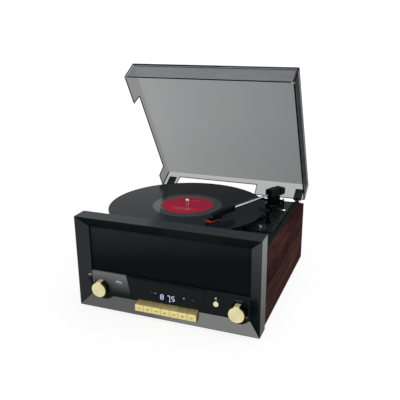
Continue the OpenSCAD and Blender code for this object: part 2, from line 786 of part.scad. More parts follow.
// Moulded top with a round well for the platter and a pocket for the arm's plinth
module deck_plate() color("#1d2322") at_cabinet() {
    skin = 3;
    rib = 6;
    difference() {
        block([-deck_x, shell_y, deck_low], [deck_x, cabinet_d, cabinet_h]);
        translate([spindle_x, spindle_y, well_floor]) cylinder(r = well_r, h = deck_h,
            $fn = 128);
        round_plate([plinth_x0 - 1.5, plinth_y0 - 1.5, well_floor],
            [plinth_x1 + 1.5, plinth_y1 + 1.5, cabinet_h + past], 13.5);
        // Hollow under the raised areas
        difference() {
            block([-deck_x + rib, shell_y + rib, deck_low - past], [deck_x - rib,
                cabinet_d - rib - back_t, cabinet_h - skin]);
            translate([spindle_x, spindle_y, deck_low - past]) cylinder(r = well_r + skin,
                h = deck_h, $fn = 128);
            round_plate([plinth_x0 - 1.5 - skin, plinth_y0 - 1.5 - skin, deck_low - past],
                [plinth_x1 + 1.5 + skin, plinth_y1 + 1.5 + skin, cabinet_h], 14);
        }
        translate([spindle_x, spindle_y, 0]) cylinder(r = spindle_d / 2 + seat, h = cabinet_h);
        translate([pulley_x, pulley_y, 0]) cylinder(r = pulley_r + 1.5, h = cabinet_h);
        translate([pivot_x, pivot_y, 0]) cylinder(r = 6, h = cabinet_h);
    }
    // Boss round the spindle, under the floor
    difference() {
        translate([spindle_x, spindle_y, deck_low - 8]) cylinder(r = 8, h = 9);
        translate([spindle_x, spindle_y, deck_low - 9]) cylinder(r = spindle_d / 2 + seat,
            h = 20);
    }
}

// Textured platform of the tonearm, with a stepped edge and the sockets of what it carries
module tonearm_plinth() color("#23282a") at_cabinet() difference() {
    union() {
        round_plate([plinth_x0, plinth_y0, well_floor + seat], [plinth_x1, plinth_y1,
            plinth_top - 1.5], 12);
        round_plate([plinth_x0 + 1.5, plinth_y0 + 1.5, well_floor + past],
            [plinth_x1 - 1.5, plinth_y1 - 1.5, plinth_top], 10.5);
        translate([pivot_x, pivot_y, plinth_top - past]) cylinder(r = 19, h = past + 1.5);
        // Kerb round the speed lever
        round_plate([speed_x - 11, speed_y - 8, plinth_top - past], [speed_x + 11,
            speed_y + 8, plinth_top + 1], 3);
        // Island round the lift's rod and the transit screw
        round_plate([lift_x - 7, plinth_y0 + 72, plinth_top - past], [plinth_x1 - 4,
            lift_y + 13.5, plinth_top + 1.2], 4);
        // Ribs beside the rest
        for (i = [0 : ribs - 1]) block([plinth_x1 - 13, plinth_y0 + 13 + i * rib_pitch,
            plinth_top - past], [plinth_x1 - 3, plinth_y0 + 15.4 + i * rib_pitch,
            plinth_top + 1.2]);
    }
    // Finger recess on the record's side of the rest
    round_plate([plinth_x0 + 9, rest_y - 10, plinth_top - 1.5], [plinth_x0 + 28, rest_y + 21,
        plinth_top + past], 3);
    // Transit screw: a sunk ring with a slotted head in it
    translate([transit_x, transit_y, plinth_top - 1.3]) difference() {
        cylinder(r = 4.7, h = 4);
        cylinder(r = 3.3, h = 1.8);
    }
    block([transit_x - 2.6, transit_y - 0.5, plinth_top - 0.4],
        [transit_x + 2.6, transit_y + 0.5, plinth_top + 2]);
    translate([pivot_x, pivot_y, 0]) cylinder(r = 9, h = plinth_top + 5);
    translate([lift_x, lift_y, 0]) cylinder(r = 2 + fit, h = plinth_top + 5);
    translate([speed_x, speed_y, 0]) cylinder(r = 2.5 + fit, h = plinth_top + 5);
}

module at_lever() translate([lever_x, lever_y, 0]) rotate([0, 0, lever_turn]) children();

// Platter: a dished plate with a skirt, a ring for the belt and a bored hub
module platter() color("#26292b") at_cabinet() translate([spindle_x, spindle_y, 0])
    rotate_extrude($fn = 128) polygon([[record_hole_d / 2, well_floor + 1.5],
        [10, well_floor + 1.5], [10, platter_low], [ring_r - 4, platter_low],
        [ring_r - 4, ring_low], [ring_r, ring_low], [ring_r, platter_low],
        [platter_d / 2 - 4, platter_low], [platter_d / 2 - 4, platter_low - 6],
        [platter_d / 2 - 1, platter_low - 6], [platter_d / 2, platter_low - 5],
        [platter_d / 2, mat_low - 1], [platter_d / 2 - 1, mat_low - seat],
        [record_hole_d / 2, mat_low - seat]]);

// Steel spindle with a flange under the deck and a rounded tip
module spindle() color("#c4c6c8") at_cabinet() translate([spindle_x, spindle_y, 0])
    rotate_extrude() {
        r = spindle_d / 2;
        tip = record_top + 12;
        polygon([[0, deck_low - 12], [6, deck_low - 12], [6, deck_low - 8.1],
            [r, deck_low - 8.1], [r, tip - 2], [r - 0.6, tip - 0.8], [r - 1.7, tip], [0, tip]]);
    }

// Felt mat
module slipmat() color("#2c2e30") at_cabinet() translate([spindle_x, spindle_y, mat_low])
    difference() {
        cylinder(r = platter_d / 2 - 2, h = mat_t - seat, $fn = 128);
        translate([0, 0, -past]) cylinder(r = 4, h = mat_t + 2 * past);
    }

// Record: raised label disc and edge bead, thinner between them where the grooves are
module record() color("#181a1c") at_cabinet() translate([spindle_x, spindle_y, record_low])
    rotate_extrude($fn = 180) {
        r = record_d / 2;
        label_r = 50;
        sink = 0.25;
        polygon([[record_hole_d / 2, 0], [r - 0.5, 0], [r, 0.4], [r, record_t - 0.4],
            [r - 0.5, record_t], [r - 2, record_t], [r - 4, record_t - sink],
            [label_r + 3, record_t - sink], [label_r + 1, record_t],
            [record_hole_d / 2, record_t]]);
    }

// Small motor under the deck, with a collar for its screws
module drive_motor() color("#9a9da0") at_cabinet() translate([pulley_x, pulley_y, 0])
    difference() {
        union() {
            translate([0, 0, deck_low - 24]) cylinder(r = 16, h = 22);
            translate([0, 0, deck_low - 3]) cylinder(r = 20, h = 3 - seat);
        }
        translate([0, 0, deck_low - 10]) cylinder(r = 1.5 + fit, h = 20);
    }

// Crowned pulley between two flanges, on the motor's shaft
module motor_pulley() color("#c9b06a") at_cabinet() translate([pulley_x, pulley_y, 0])
    rotate_extrude() polygon([[0, deck_low - 8], [1.5, deck_low - 8],
        [1.5, ring_low - 1.5], [pulley_r + 1, ring_low - 1.5],
        [pulley_r + 1, ring_low - 0.7], [pulley_r, ring_low - 0.2],
        [pulley_r, ring_low + belt_h + 0.8], [pulley_r + 1, ring_low + belt_h + 1.3],
        [pulley_r + 1, ring_low + belt_h + 2], [0, ring_low + belt_h + 2]]);

// Outline of the belt's loop round the platter's ring and the pulley
module belt_loop(gap) hull() {
    circle(ring_r + gap, $fn = 96);
    translate([pulley_x - spindle_x, pulley_y - spindle_y]) circle(pulley_r + gap, $fn = 32);
}

module drive_belt() color("#111111") at_cabinet()
    translate([spindle_x, spindle_y, ring_low + 0.3]) linear_extrude(belt_h)
        difference() {
            belt_loop(belt_gap + belt_t);
            belt_loop(belt_gap);
        }

// Fixed post of the tonearm, bored for the yoke's pin, with the ears of the cue lever
module arm_turret() color("#1b1d1f") at_cabinet() difference() {
    union() {
        translate([pivot_x, pivot_y, 0]) rotate_extrude() polygon([
            [yoke_pin_r + fit, plinth_top - 6], [8.9, plinth_top - 6],
            [8.9, plinth_top + 1.6], [17, plinth_top + 1.6], [17, plinth_top + 3],
            [15, plinth_top + 5], [turret_r, plinth_top + 6.5], [turret_r, turret_top - 1],
            [turret_r - 1, turret_top], [yoke_pin_r + fit, turret_top]]);
        at_lever() {
            block([-ear_x - 1, -4, plinth_top + 2], [ear_x + 1, 4, plinth_top + 4]);
            for (side = [-1, 1])
                block([side * ear_x - 1, -4, plinth_top + 3], [side * ear_x + 1, 4, lever_z + 4]);
        }
    }
    at_lever() translate([-ear_x - 1.5, 0, lever_z]) rotate([0, 90, 0])
        cylinder(r = lever_pin_r + fit, h = 2 * ear_x + 3);
}

// Turning yoke: a disc on a pin, and a hood over the pivot block, slotted for the tube
module arm_yoke() color("#17191a") at_arm() {
    floor_z = turret_top + clear;
    cut = 2;
    difference() {
        side_prism([[house_front, house_low], [house_back, house_low],
            [house_back, house_top - 3], [house_back - 3, house_top],
            [house_front + cut, house_top], [house_front, house_top - cut]],
            -house_x, house_x);
        block([-house_x + house_t, house_front + house_t, house_low + house_t],
            [house_x - house_t, house_back + past, house_top - house_t]);
        block([-tube_d / 2 - 1, house_front - past, arm_z - tube_d / 2 - 0.6],
            [tube_d / 2 + 1, house_front + house_t + past, arm_z + tube_d / 2 + 1.4]);
        translate([-house_x - past, 0, arm_z]) rotate([0, 90, 0])
            cylinder(r = pitch_pin_r + fit, h = 2 * (house_x + past));
    }
    translate([0, 0, floor_z]) cylinder(r = turret_r, h = house_low - floor_z + 0.2);
    translate([0, 0, plinth_top - 5]) cylinder(r = yoke_pin_r, h = floor_z - plinth_top + 6);
}

// Silver tube with the pivot block, its cross pins and the stem of the counterweight
module arm_tube() color("#c8cacc") at_arm() {
    x = arm_block_x;
    difference() {
        union() {
            translate([0, -4, arm_z]) rotate([90, 0, 0]) cylinder(r = tube_d / 2,
                h = tube_end - 4);
            block([-x, -8, arm_z - 4], [x, 7, arm_z + 4.5]);
            front_cylinder(0, arm_z, 3, 6, 10);
        }
        translate([0, -20, arm_z]) rotate([90, 0, 0]) cylinder(r = tube_d / 2 - 0.6,
            h = arm_reach);
    }
    for (side = [-1, 1])
        translate([side > 0 ? x - past : -house_x + 0.4, 0, arm_z]) rotate([0, 90, 0])
            cylinder(r = pitch_pin_r, h = house_x - x + past - 0.4);
}

// Weight behind the hood
module counterweight() color("#141516") at_arm() {
    x = house_x + 1.5;
    y0 = 10 + seat;
    y1 = 25;
    side_prism([[y0, arm_z - 5.5], [y1 - 3, arm_z - 5.5], [y1, arm_z - 2.5], [y1, arm_z + 6],
        [y1 - 2.5, arm_z + 8.5], [y0, arm_z + 8.5]], -x, x);
}

// Pieces drawn about the tube's end, on the arm or on the bent head
module at_head() at_arm() translate([0, -tube_end, 0]) rotate([0, 0, head_turn]) children();

// Headshell: a deep sleeve round the tube's end that slopes down to a flat nose
module headshell() color("#16181a") at_head() {
    difference() {
        hull() {
            front_cylinder(0, arm_z, 4.4, -1, 2);
            block([-4.4, -1, arm_z - 5.5], [4.4, 0, arm_z]);
            block([-head_x, -neck, arm_z - 6], [head_x, -neck + 1, arm_z + 3]);
        }
        rotate([0, 0, -head_turn]) translate([0, 3, arm_z]) rotate([90, 0, 0])
            cylinder(r = tube_d / 2 + seat, h = 3 + seat);
    }
    hull() {
        block([-head_x, -neck, arm_z - 6], [head_x, -neck + 1, arm_z + 3]);
        block([-head_x, -head_len, arm_z - 6], [head_x, -head_len + 1, arm_z - 1.5]);
    }
    // Finger lift on the right
    block([head_x - past, -31, arm_z - 8], [head_x, -28, arm_z - 5]);
    block([head_x - past, -31, arm_z - 8], [14, -28, arm_z - 6.8]);
}

// Pickup cartridge under the nose
module cartridge() color("#1d1f22") at_head() {
    high = arm_z - 6 - seat;
    low = high - 5.3;
    side_prism([[-head_len, low + 2], [-head_len + 1.5, low], [-34, low], [-32, low + 1.5],
        [-32, high], [-head_len, high]], -head_x + 0.5, head_x - 0.5);
}

// Red stylus holder with a raised lip in front, and the tip under it
module stylus() color("#c8281e") at_head() {
    high = arm_z - 6 - 5.3 - 2 * seat;
    low = high - 1.9;
    tip_z = record_top + stylus_gap;
    side_prism([[-36, low + 0.6], [-58, low], [-62, low + 0.3], [-68.5, low + 4.6],
        [-68.5, low + 5.4], [-67.3, low + 5.4], [-61.5, high], [-36, high]], -4.5, 4.5);
    translate([0, -61, tip_z]) cylinder(r1 = 0.2, r2 = 0.7, h = low + 0.6 - tip_z, $fn = 16);
}

module at_rest() translate([rest_x, rest_y, 0]) rotate([0, 0, rest_turn]) children();

// Post with a flat saddle that the tube swings onto, and a stop that carries the clip's pin
module arm_rest() color("#1b1d1f") at_cabinet() at_rest() {
    under = arm_z - tube_d / 2 - clear;
    stop_x = tube_d / 2 + clear;
    w = 4;
    translate([0, 0, plinth_top + seat]) cylinder(r = 4, h = under - 3 - plinth_top);
    translate([0, 0, plinth_top + seat]) cylinder(r = 6, h = 1.5);
    difference() {
        union() {
            side_prism([[-w, under - 1.5], [-w + 1.5, under], [w - 1.5, under], [w, under - 1.5],
                [w, under - 4], [-w, under - 4]], -6, stop_x + 6);
            block([stop_x, -w, under - 4], [stop_x + 6, w, clip_z + 1.5]);
        }
        translate([clip_x, -w - past, clip_z]) rotate([-90, 0, 0])
            cylinder(r = clip_pin_r + fit, h = 2 * (w + past));
        block([stop_x - past, -w + 2, clip_z - 2.2], [stop_x + 6 + past, w - 2, clip_z + 2]);
    }
}

// Clip that folds over the tube, standing open to the right, with a hooked end
module arm_clip() color("#1b1d1f") at_cabinet() at_rest() {
    half = 1.6;
    t = 0.9;
    reach = clip_x + tube_d / 2 + 1;
    translate([clip_x, -half, clip_z]) rotate([-90, 0, 0]) cylinder(r = 1.5, h = 2 * half);
    block([clip_x, -half, clip_z - t], [clip_x + reach + 1.5, half, clip_z + t]);
    block([clip_x + reach, -half, clip_z], [clip_x + reach + 1.5, half, clip_z + 4]);
    translate([clip_x, -3.6, clip_z]) rotate([-90, 0, 0]) cylinder(r = clip_pin_r, h = 7.2);
}

// Cue lever: a cross pin, an arm to the front and a bright tip
module cue_lever() color("#3a3d40") at_cabinet() at_lever() {
    x = ear_x - 1 - clear;
    translate([-ear_x - 0.8, 0, lever_z]) rotate([0, 90, 0]) cylinder(r = lever_pin_r,
        h = 2 * ear_x + 1.6);
    translate([-x, 0, lever_z]) rotate([0, 90, 0]) cylinder(r = 3, h = 2 * x);
    side_prism([[0, lever_z - 2], [0, lever_z + 2], [-32, lever_z - 5], [-32, lever_z - 8]],
        -1.5, 1.5);
    translate([0, -35, lever_z - 6.5]) sphere(r = 3.2, $fn = 32);
}

// Curved bar under the tube on a rod that slides in the plinth
module lift_bar() color("#1b1d1f") at_cabinet() {
    top = arm_z - tube_d / 2 - 0.3;
    translate([lift_x, lift_y, plinth_top - 4]) cylinder(r = 2, h = top - plinth_top + 2);
    translate([pivot_x, pivot_y, top - 3]) rotate([0, 0, -90 - arm_turn - 20])
        rotate_extrude(angle = arm_turn + 20 + rest_turn + 3)
            translate([lift_r - 2.5, 0]) square([5, 3]);
}

// Speed lever: a turning pin with an arm and a bright tip
module speed_lever() color("#b8babd") at_cabinet() translate([speed_x, speed_y, 0]) {
    translate([0, 0, plinth_top - 4]) cylinder(r = 2.5, h = 7);
    block([-1.8, -6, plinth_top + 1.4], [1.8, 0, plinth_top + 3]);
    translate([0, -6, plinth_top + 1.4]) cylinder(r = 1.8, h = 4);
}

// Puts pieces of the closed lid at its open angle
module opened() at_cabinet() translate([0, hinge_y, hinge_z]) rotate([-lid_open, 0, 0])
    translate([0, -hinge_y, -hinge_z]) children();

// Smoked lid: four walls and a top, notched on the left and cut out at the back for the record
module lid() color([0.35, 0.37, 0.38, 0.5]) opened() {
    notch_z = lid_top - 16.5;
    cut_z = lid_top - 14.3;
    difference() {
        block([-lid_x, lid_front, lid_low], [lid_x, cabinet_d, lid_top]);
        block([-lid_x + lid_t, lid_front + lid_t, lid_low - past],
            [lid_x - lid_t, cabinet_d - lid_t, lid_top - lid_t]);
        side_prism([[spindle_y - notch_half - 1, lid_low - past],
            [spindle_y + notch_half + 1, lid_low - past], [spindle_y + notch_half - 1, notch_z],
            [spindle_y - notch_half + 2, notch_z]], -lid_x - past, -lid_x + lid_t + past);
        front_prism([[-cut_left - 2, lid_low - past], [cut_right, lid_low - past],
            [cut_right - 2, cut_z], [-cut_left, cut_z]],
            cabinet_d - lid_t - past, cabinet_d + past);
    }
}

// Hinge halves on the back panel: a screwed leaf, a knuckle and the pin
module hinge_brackets() color("#1a1b1c") at_cabinet() for (x = hinge_x) {
    w = hinge_w / 2;
    block([x - w, cabinet_d + seat, hinge_z - 26], [x + w, cabinet_d + 2.5, hinge_z - 4.5]);
    for (side = [-1, 1]) {
        a = x + side * w;
        b = x + side * (w - 4);
        difference() {
            union() {
                translate([min(a, b), hinge_y, hinge_z]) rotate([0, 90, 0])
                    cylinder(r = 3.8, h = 4);
                block([min(a, b), cabinet_d + seat, hinge_z - 9], [max(a, b), hinge_y + 2,
                    hinge_z - 3]);
            }
            translate([min(a, b) - past, hinge_y, hinge_z]) rotate([0, 90, 0])
                cylinder(r = hinge_pin_r, h = 6);
        }
    }
    translate([x - w, hinge_y, hinge_z]) rotate([0, 90, 0]) cylinder(r = hinge_pin_r,
        h = hinge_w);
}

// Hinge halves on the lid: a ribbed socket on its back wall and a knuckle between the ears
module lid_hinge_arms() color("#1a1b1c") opened() for (x = hinge_x) {
    w = hinge_w / 2;
    k = w - 4 - clear;
    y0 = cabinet_d + seat;
    difference() {
        union() {
            block([x - w, y0, lid_low + 1], [x + w, y0 + 3, lid_top - 13]);
            for (i = [-1, 0, 1]) block([x + i * 6 - 1, y0 + 2, lid_low + 1], [x + i * 6 + 1,
                y0 + 4.6, lid_top - 15]);
            block([x - k, y0, hinge_z + 2], [x + k, hinge_y + 2.5, lid_low + 4]);
            translate([x - k, hinge_y, hinge_z]) rotate([0, 90, 0]) cylinder(r = 3.8, h = 2 * k);
        }
        translate([x - k - past, hinge_y, hinge_z]) rotate([0, 90, 0])
            cylinder(r = hinge_pin_r + fit, h = 2 * (k + past));
    }
}

// Soft pads under the lid's front corners
module lid_bumpers() color("#9a9c9e") opened() for (side = [-1, 1]) {
    a = side * lid_x;
    b = side * (lid_x - 6);
    block([min(a, b), lid_front, lid_low - 0.55], [max(a, b), lid_front + lid_t,
        lid_low - seat]);
}

front_frame();
speaker_grille();
speakers();
control_fascia();
display_window();
control_board();
left_side_panel();
right_side_panel();
bottom_board();
back_panel();
rubber_feet();
cabinet_screws();
volume_knob();
volume_shaft();
tuning_knob();
tuning_shaft();
key_source();
key_mode();
key_previous();
key_next();
key_play();
key_stop();
key_standby();
eject_button();
headphone_jack();
usb_socket();
cd_chassis();
cd_tray();
cd_drawer_front();
cd_hub();
laser_sled();
main_board();
transformer();
mains_inlet();
line_out_sockets();
deck_plate();
tonearm_plinth();
platter();
spindle();
slipmat();
record();
drive_motor();
motor_pulley();
drive_belt();
arm_turret();
arm_yoke();
arm_tube();
counterweight();
headshell();
cartridge();
stylus();
arm_rest();
arm_clip();
cue_lever();
lift_bar();
speed_lever();
lid();
hinge_brackets();
lid_hinge_arms();
lid_bumpers();
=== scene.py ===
import bpy, math
from mathutils import Matrix, Vector


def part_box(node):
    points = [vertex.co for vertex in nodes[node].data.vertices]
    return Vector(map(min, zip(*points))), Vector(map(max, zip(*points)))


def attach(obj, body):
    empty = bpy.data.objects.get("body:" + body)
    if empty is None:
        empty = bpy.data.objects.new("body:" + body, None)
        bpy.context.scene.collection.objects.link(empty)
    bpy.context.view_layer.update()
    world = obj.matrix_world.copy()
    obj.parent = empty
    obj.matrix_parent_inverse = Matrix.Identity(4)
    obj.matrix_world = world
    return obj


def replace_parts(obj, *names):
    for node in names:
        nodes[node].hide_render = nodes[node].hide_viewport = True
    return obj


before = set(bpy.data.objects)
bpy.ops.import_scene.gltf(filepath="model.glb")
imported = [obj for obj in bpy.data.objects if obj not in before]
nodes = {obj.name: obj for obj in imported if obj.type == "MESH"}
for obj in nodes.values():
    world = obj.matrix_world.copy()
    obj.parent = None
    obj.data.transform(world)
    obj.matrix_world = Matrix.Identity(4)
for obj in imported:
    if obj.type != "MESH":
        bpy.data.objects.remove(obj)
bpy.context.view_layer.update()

# The camera stands to the right of the set and above it, and looks down over the record
# at the lid. The set is seen at the photograph's angle and size.
camera = bpy.data.objects.new("camera", bpy.data.cameras.new("camera"))
bpy.context.collection.objects.link(camera)
focal_length, picture_width = 555.14, 400  # in pixels
camera.data.sensor_width = 36
camera.data.lens = focal_length / picture_width * 36
camera.data.clip_end = 60
turned, tipped_down, rolled = 21.297, 18.201, -0.491  # in degrees
camera.matrix_world = (Matrix.Translation((0.349586, -0.899395, 0.479888))
                       @ Matrix.Rotation(math.radians(turned), 4, "Z")
                       @ Matrix.Rotation(math.radians(90 - tipped_down), 4, "X")
                       @ Matrix.Rotation(math.radians(rolled), 4, "Z"))
bpy.context.scene.camera = camera
bpy.context.scene.view_settings.view_transform = "Standard"


# The two sides are fibreboard 12 mm thick, wrapped in a printed mahogany foil that runs
# from front to back. Their edges are slightly eased, so that the foil doesn't chip.
class Thread:
    """What a shader node gives out, so that sums are written as plain expressions."""

    def __init__(self, finish, socket):
        self.finish, self.socket = finish, socket

    def maths(self, operation, *values):
        return self.finish.node("Math", {"operation": operation}, *values)

    def __add__(self, other):
        return self.maths("ADD", self, other)

    def __radd__(self, other):
        return self.maths("ADD", other, self)

    def __sub__(self, other):
        return self.maths("SUBTRACT", self, other)

    def __rsub__(self, other):
        return self.maths("SUBTRACT", other, self)

    def __mul__(self, other):
        return self.maths("MULTIPLY", self, other)

    def __truediv__(self, other):
        return self.maths("DIVIDE", self, other)

    def __pow__(self, other):
        return self.maths("POWER", self, other)

    def below(self, level):
        return self.maths("LESS_THAN", self, level)

    def above(self, level):
        return self.maths("GREATER_THAN", self, level)

    def either(self, other):
        return self.maths("MAXIMUM", self, other)

    def rising(self, slope, start):
        """A straight rise from the start, held between 0 and 1."""
        return self.finish.node("Math", {"operation": "MULTIPLY_ADD", "use_clamp": True},
                                self, slope, start)


class Finish:
    """A material: a Principled shader and the nodes that feed it."""

    def __init__(self, name, **sockets):
        self.material = bpy.data.materials.new(name)
        self.material.use_nodes = True
        self.tree = self.material.node_tree
        self.shader = self.tree.nodes["Principled BSDF"]
        self.surface(**sockets)

    def join(self, socket, value):
        if isinstance(value, Thread):
            self.tree.links.new(value.socket, socket)
        elif socket.type == "RGBA":
            socket.default_value = (*value, 1)
        else:
            socket.default_value = value

    def surface(self, **sockets):
        for name, value in sockets.items():
            self.join(self.shader.inputs[name.replace("_", " ")], value)
        return self

    def node(self, kind, settings=None, *values, **named):
        node = self.tree.nodes.new("ShaderNode" + kind)
        for key, value in (settings or {}).items():
            if key == "stops":
                ramp = node.color_ramp.elements
                while len(ramp) < len(value):
                    ramp.new(0.5)
                for stop, (position, colour) in zip(ramp, value):
                    stop.position = position
                    stop.color = (*colour, 1)
            else:
                setattr(node, key, value)
        free = [s for s in node.inputs if s.enabled]
        for socket, value in zip(free, values):
            self.join(socket, value)
        for key, value in named.items():
            self.join(next(s for s in free if s.name == key.replace("_", " ")), value)
        return Thread(self, next(s for s in node.outputs if s.enabled))

    def place(self, stretch=(1, 1, 1), shift=(0, 0, 0)):
        """Object coordinates, stretched and moved."""
        spot = self.node("TexCoord")
        spot.socket = spot.socket.node.outputs["Object"]
        return self.node("Mapping", {}, spot, Location=shift, Scale=stretch)

    def split(self, vector):
        apart = self.node("SeparateXYZ", {}, vector)
        return [Thread(self, s) for s in apart.socket.node.outputs]

    def noise(self, vector, scale, detail=3, rough=0.5):
        return self.node("TexNoise", {}, Vector=vector, Scale=scale, Detail=detail,
                         Roughness=rough)

    def mix(self, factor, first, second):
        return self.node("Mix", {"data_type": "RGBA"}, factor, first, second)

    def ramp(self, factor, stops):
        return self.node("ValToRGB", {"stops": stops}, factor)

    def bump(self, height, strength, depth):
        return self.node("Bump", {}, Strength=strength, Distance=depth, Height=height)


def only(piece):
    """Makes a piece the only selected one."""
    if bpy.context.object and bpy.context.object.mode != "OBJECT":
        bpy.ops.object.mode_set(mode="OBJECT")
    bpy.ops.object.select_all(action="DESELECT")
    piece.hide_set(False)
    piece.select_set(True)
    bpy.context.view_layer.objects.active = piece


def modify(piece, kind, **settings):
    """Adds a modifier and applies it."""
    only(piece)
    modifier = piece.modifiers.new(kind, kind)
    for key, value in settings.items():
        setattr(modifier, key, value)
    bpy.ops.object.modifier_apply(modifier=modifier.name)
    return piece


def mount(piece, finish, body, sharp=30):
    """Settles a piece at the origin, smooths and paints it, and fixes it to its body."""
    only(piece)
    bpy.ops.object.transform_apply(location=True, rotation=True, scale=True)
    bpy.ops.object.shade_smooth_by_angle(angle=math.radians(sharp))
    modify(piece, "WEIGHTED_NORMAL", keep_sharp=True, weight=100)
    for coat in finish if isinstance(finish, list) else [finish]:
        piece.data.materials.append(coat.material)
    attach(piece, body)


def eased(name, node, width, finish, body, segments=2, sharp=30):
    """A solid of the set with its sharp edges rounded, which stands for the plain one."""
    piece = bpy.data.objects.new(name, nodes[node].data.copy())
    piece.data.materials.clear()
    bpy.context.collection.objects.link(piece)
    only(piece)
    bpy.ops.object.mode_set(mode="EDIT")
    bpy.ops.mesh.select_all(action="SELECT")
    bpy.ops.mesh.remove_doubles(threshold=1e-6)
    bpy.ops.mesh.dissolve_limited(angle_limit=math.radians(1))
    bpy.ops.object.mode_set(mode="OBJECT")
    modify(piece, "BEVEL", width=width, segments=segments, limit_method="ANGLE",
           angle_limit=math.radians(sharp), use_clamp_overlap=True)
    mount(piece, finish, body, sharp=sharp)
    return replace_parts(piece, node)


def paint(node, finish):
    """Gives a solid of the set its finish."""
    nodes[node].data.materials.clear()
    nodes[node].data.materials.append(finish.material)


mahogany = Finish("mahogany_foil", Specular_IOR_Level=0)
wander = mahogany.noise(mahogany.place(stretch=(7, 1.3, 7)), 2.4, 2)
streaks = mahogany.noise(mahogany.place(stretch=(60, 3.2, 60)), 1.6, 5, 0.68)
figure = mahogany.noise(mahogany.place(stretch=(11, 6, 11), shift=(0.3, 0, 0)), 1.5, 3)
pores = mahogany.noise(mahogany.place(stretch=(900, 60, 900)), 1, 2)
grain = streaks * 0.8 + wander * 0.4 + figure * 0.25 - 0.22
wood = mahogany.ramp(grain, [(0.32, (0.018, 0.009, 0.009)), (0.46, (0.036, 0.017, 0.015)),
                             (0.58, (0.060, 0.027, 0.023)), (0.74, (0.098, 0.050, 0.043))])
mahogany.surface(Base_Color=mahogany.mix(pores.above(0.6) * 0.6, wood, (0.010, 0.005, 0.005)),
                 Roughness=0.5 + pores * 0.18,
                 Normal=mahogany.bump(pores + streaks * 0.4, 0.25, 0.0002))
for side in ("left", "right"):
    eased(side + "_side", side + "_side_panel", 0.0008, mahogany, "cabinet")

# The front frame is one charcoal moulding in satin paint. A wide bevel leads in to the
# grille and the fascia, and the keys are let into its lower edge. The paint has more
# polish on the bevel under them and on the outer faces, and it is painted a lighter grey
# on that lower bevel and on the top face, a painted sheen.
def moulded(name, colour, rough=0.45, speck=0.00006, level=0.5, lift=0.25):
    """Painted or moulded plastic: faint clouds in its colour, a fine texture and dull rubs."""
    finish = Finish(name, Specular_IOR_Level=level)
    fine = finish.noise(finish.place(), 2600, 2, 0.6)
    cloud = finish.noise(finish.place(), 14, 3)
    paler = tuple(min(1, c * (1 + lift) + 0.002) for c in colour)
    return finish.surface(Base_Color=finish.mix(cloud * 0.9 + fine * 0.25 - 0.1, colour, paler),
                          Roughness=rough - 0.08 + cloud * 0.14 + fine * 0.06,
                          Normal=finish.bump(fine, 0.35, speck))


charcoal = moulded("charcoal_paint", (0.0035, 0.0075, 0.0088), 0.22, 0.00004, 0.02)
across, _, up = charcoal.split(charcoal.place())
wide = across.maths("ABSOLUTE", across)
bevel_up, bevel_side, low_mitre, high_mitre = 0.0245, 0.1421, 0.1665, -0.0065
outer, top = wide.above(0.1612), up.above(0.1675)
below = up.below(bevel_up) * (wide + up).below(low_mitre)
beside = wide.above(bevel_side) * (wide - up).above(high_mitre) * (1 - below)
left, right = across.below(0) * 0.28, across.above(0) * up.rising(8, -0.25) * 0.45
polish = below + beside * (left + right) + outer * 0.095 + top * 0.08
paint_colour = Thread(charcoal, charcoal.shader.inputs["Base Color"].links[0].from_socket)
# The lower bevel and the top face are painted a lighter grey: painted sheen.
charcoal.surface(Base_Color=charcoal.mix(below * 0.03 + top * 0.09, paint_colour,
                                         (0.150, 0.156, 0.162)),
                 Coat_Weight=polish, Coat_Roughness=0.12, Coat_IOR=1.9)
eased("frame_moulding", "front_frame", 0.0005, charcoal, "cabinet")

# The grille is black speaker cloth, glued round a thin board. The weave is plain, about
# 0.6 mm to a thread, and it stands a little proud at the hem where it is folded.
low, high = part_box("speaker_grille")
cloth = Finish("speaker_cloth", Specular_IOR_Level=0.02)
weft, warp = (cloth.node("TexWave", {"wave_type": "BANDS", "bands_direction": way},
                         Vector=cloth.place(), Scale=260, Distortion=0.4, Detail=1)
              for way in "XZ")
weave = weft * warp
slack = cloth.noise(cloth.place(), 9, 3)
across, _, up = cloth.split(cloth.place())
# The cloth is painted lighter towards the top and the left: painted sheen.
painted_grille_sheen = up * 9 - across * 1.4 - 0.7
cloth.surface(Base_Color=cloth.mix(weave * 0.22 + slack * 0.18 + painted_grille_sheen * 1.65 - 0.55,
                                   (0.008, 0.010, 0.012), (0.036, 0.043, 0.049)),
              Roughness=0.8 - weave * 0.15, Normal=cloth.bump(weave, 0.5, 0.0003))
bpy.ops.object.select_all(action="DESELECT")
bpy.ops.mesh.primitive_grid_add(x_subdivisions=40, y_subdivisions=16, size=1)
grille = bpy.context.object
grille.name = "grille_cloth"
grille.scale = (high.x - low.x, high.z - low.z, 1)
grille.rotation_euler = (math.radians(90), 0, 0)
grille.location = ((low.x + high.x) / 2, low.y + 0.0008, (low.z + high.z) / 2)
bpy.ops.object.transform_apply()
hem_rise, hem_width = 0.0007, 0.004
for corner in grille.data.vertices:
    inward = min(corner.co.x - low.x, high.x - corner.co.x, corner.co.z - low.z,
                 high.z - corner.co.z)
    corner.co.y -= hem_rise * math.exp(-inward / hem_width)
modify(grille, "SOLIDIFY", thickness=0.0012, offset=-1)
modify(grille, "BEVEL", width=0.0004, segments=2, limit_method="ANGLE")
mount(grille, cloth, "cabinet", 60)
paint("speaker_grille", cloth)
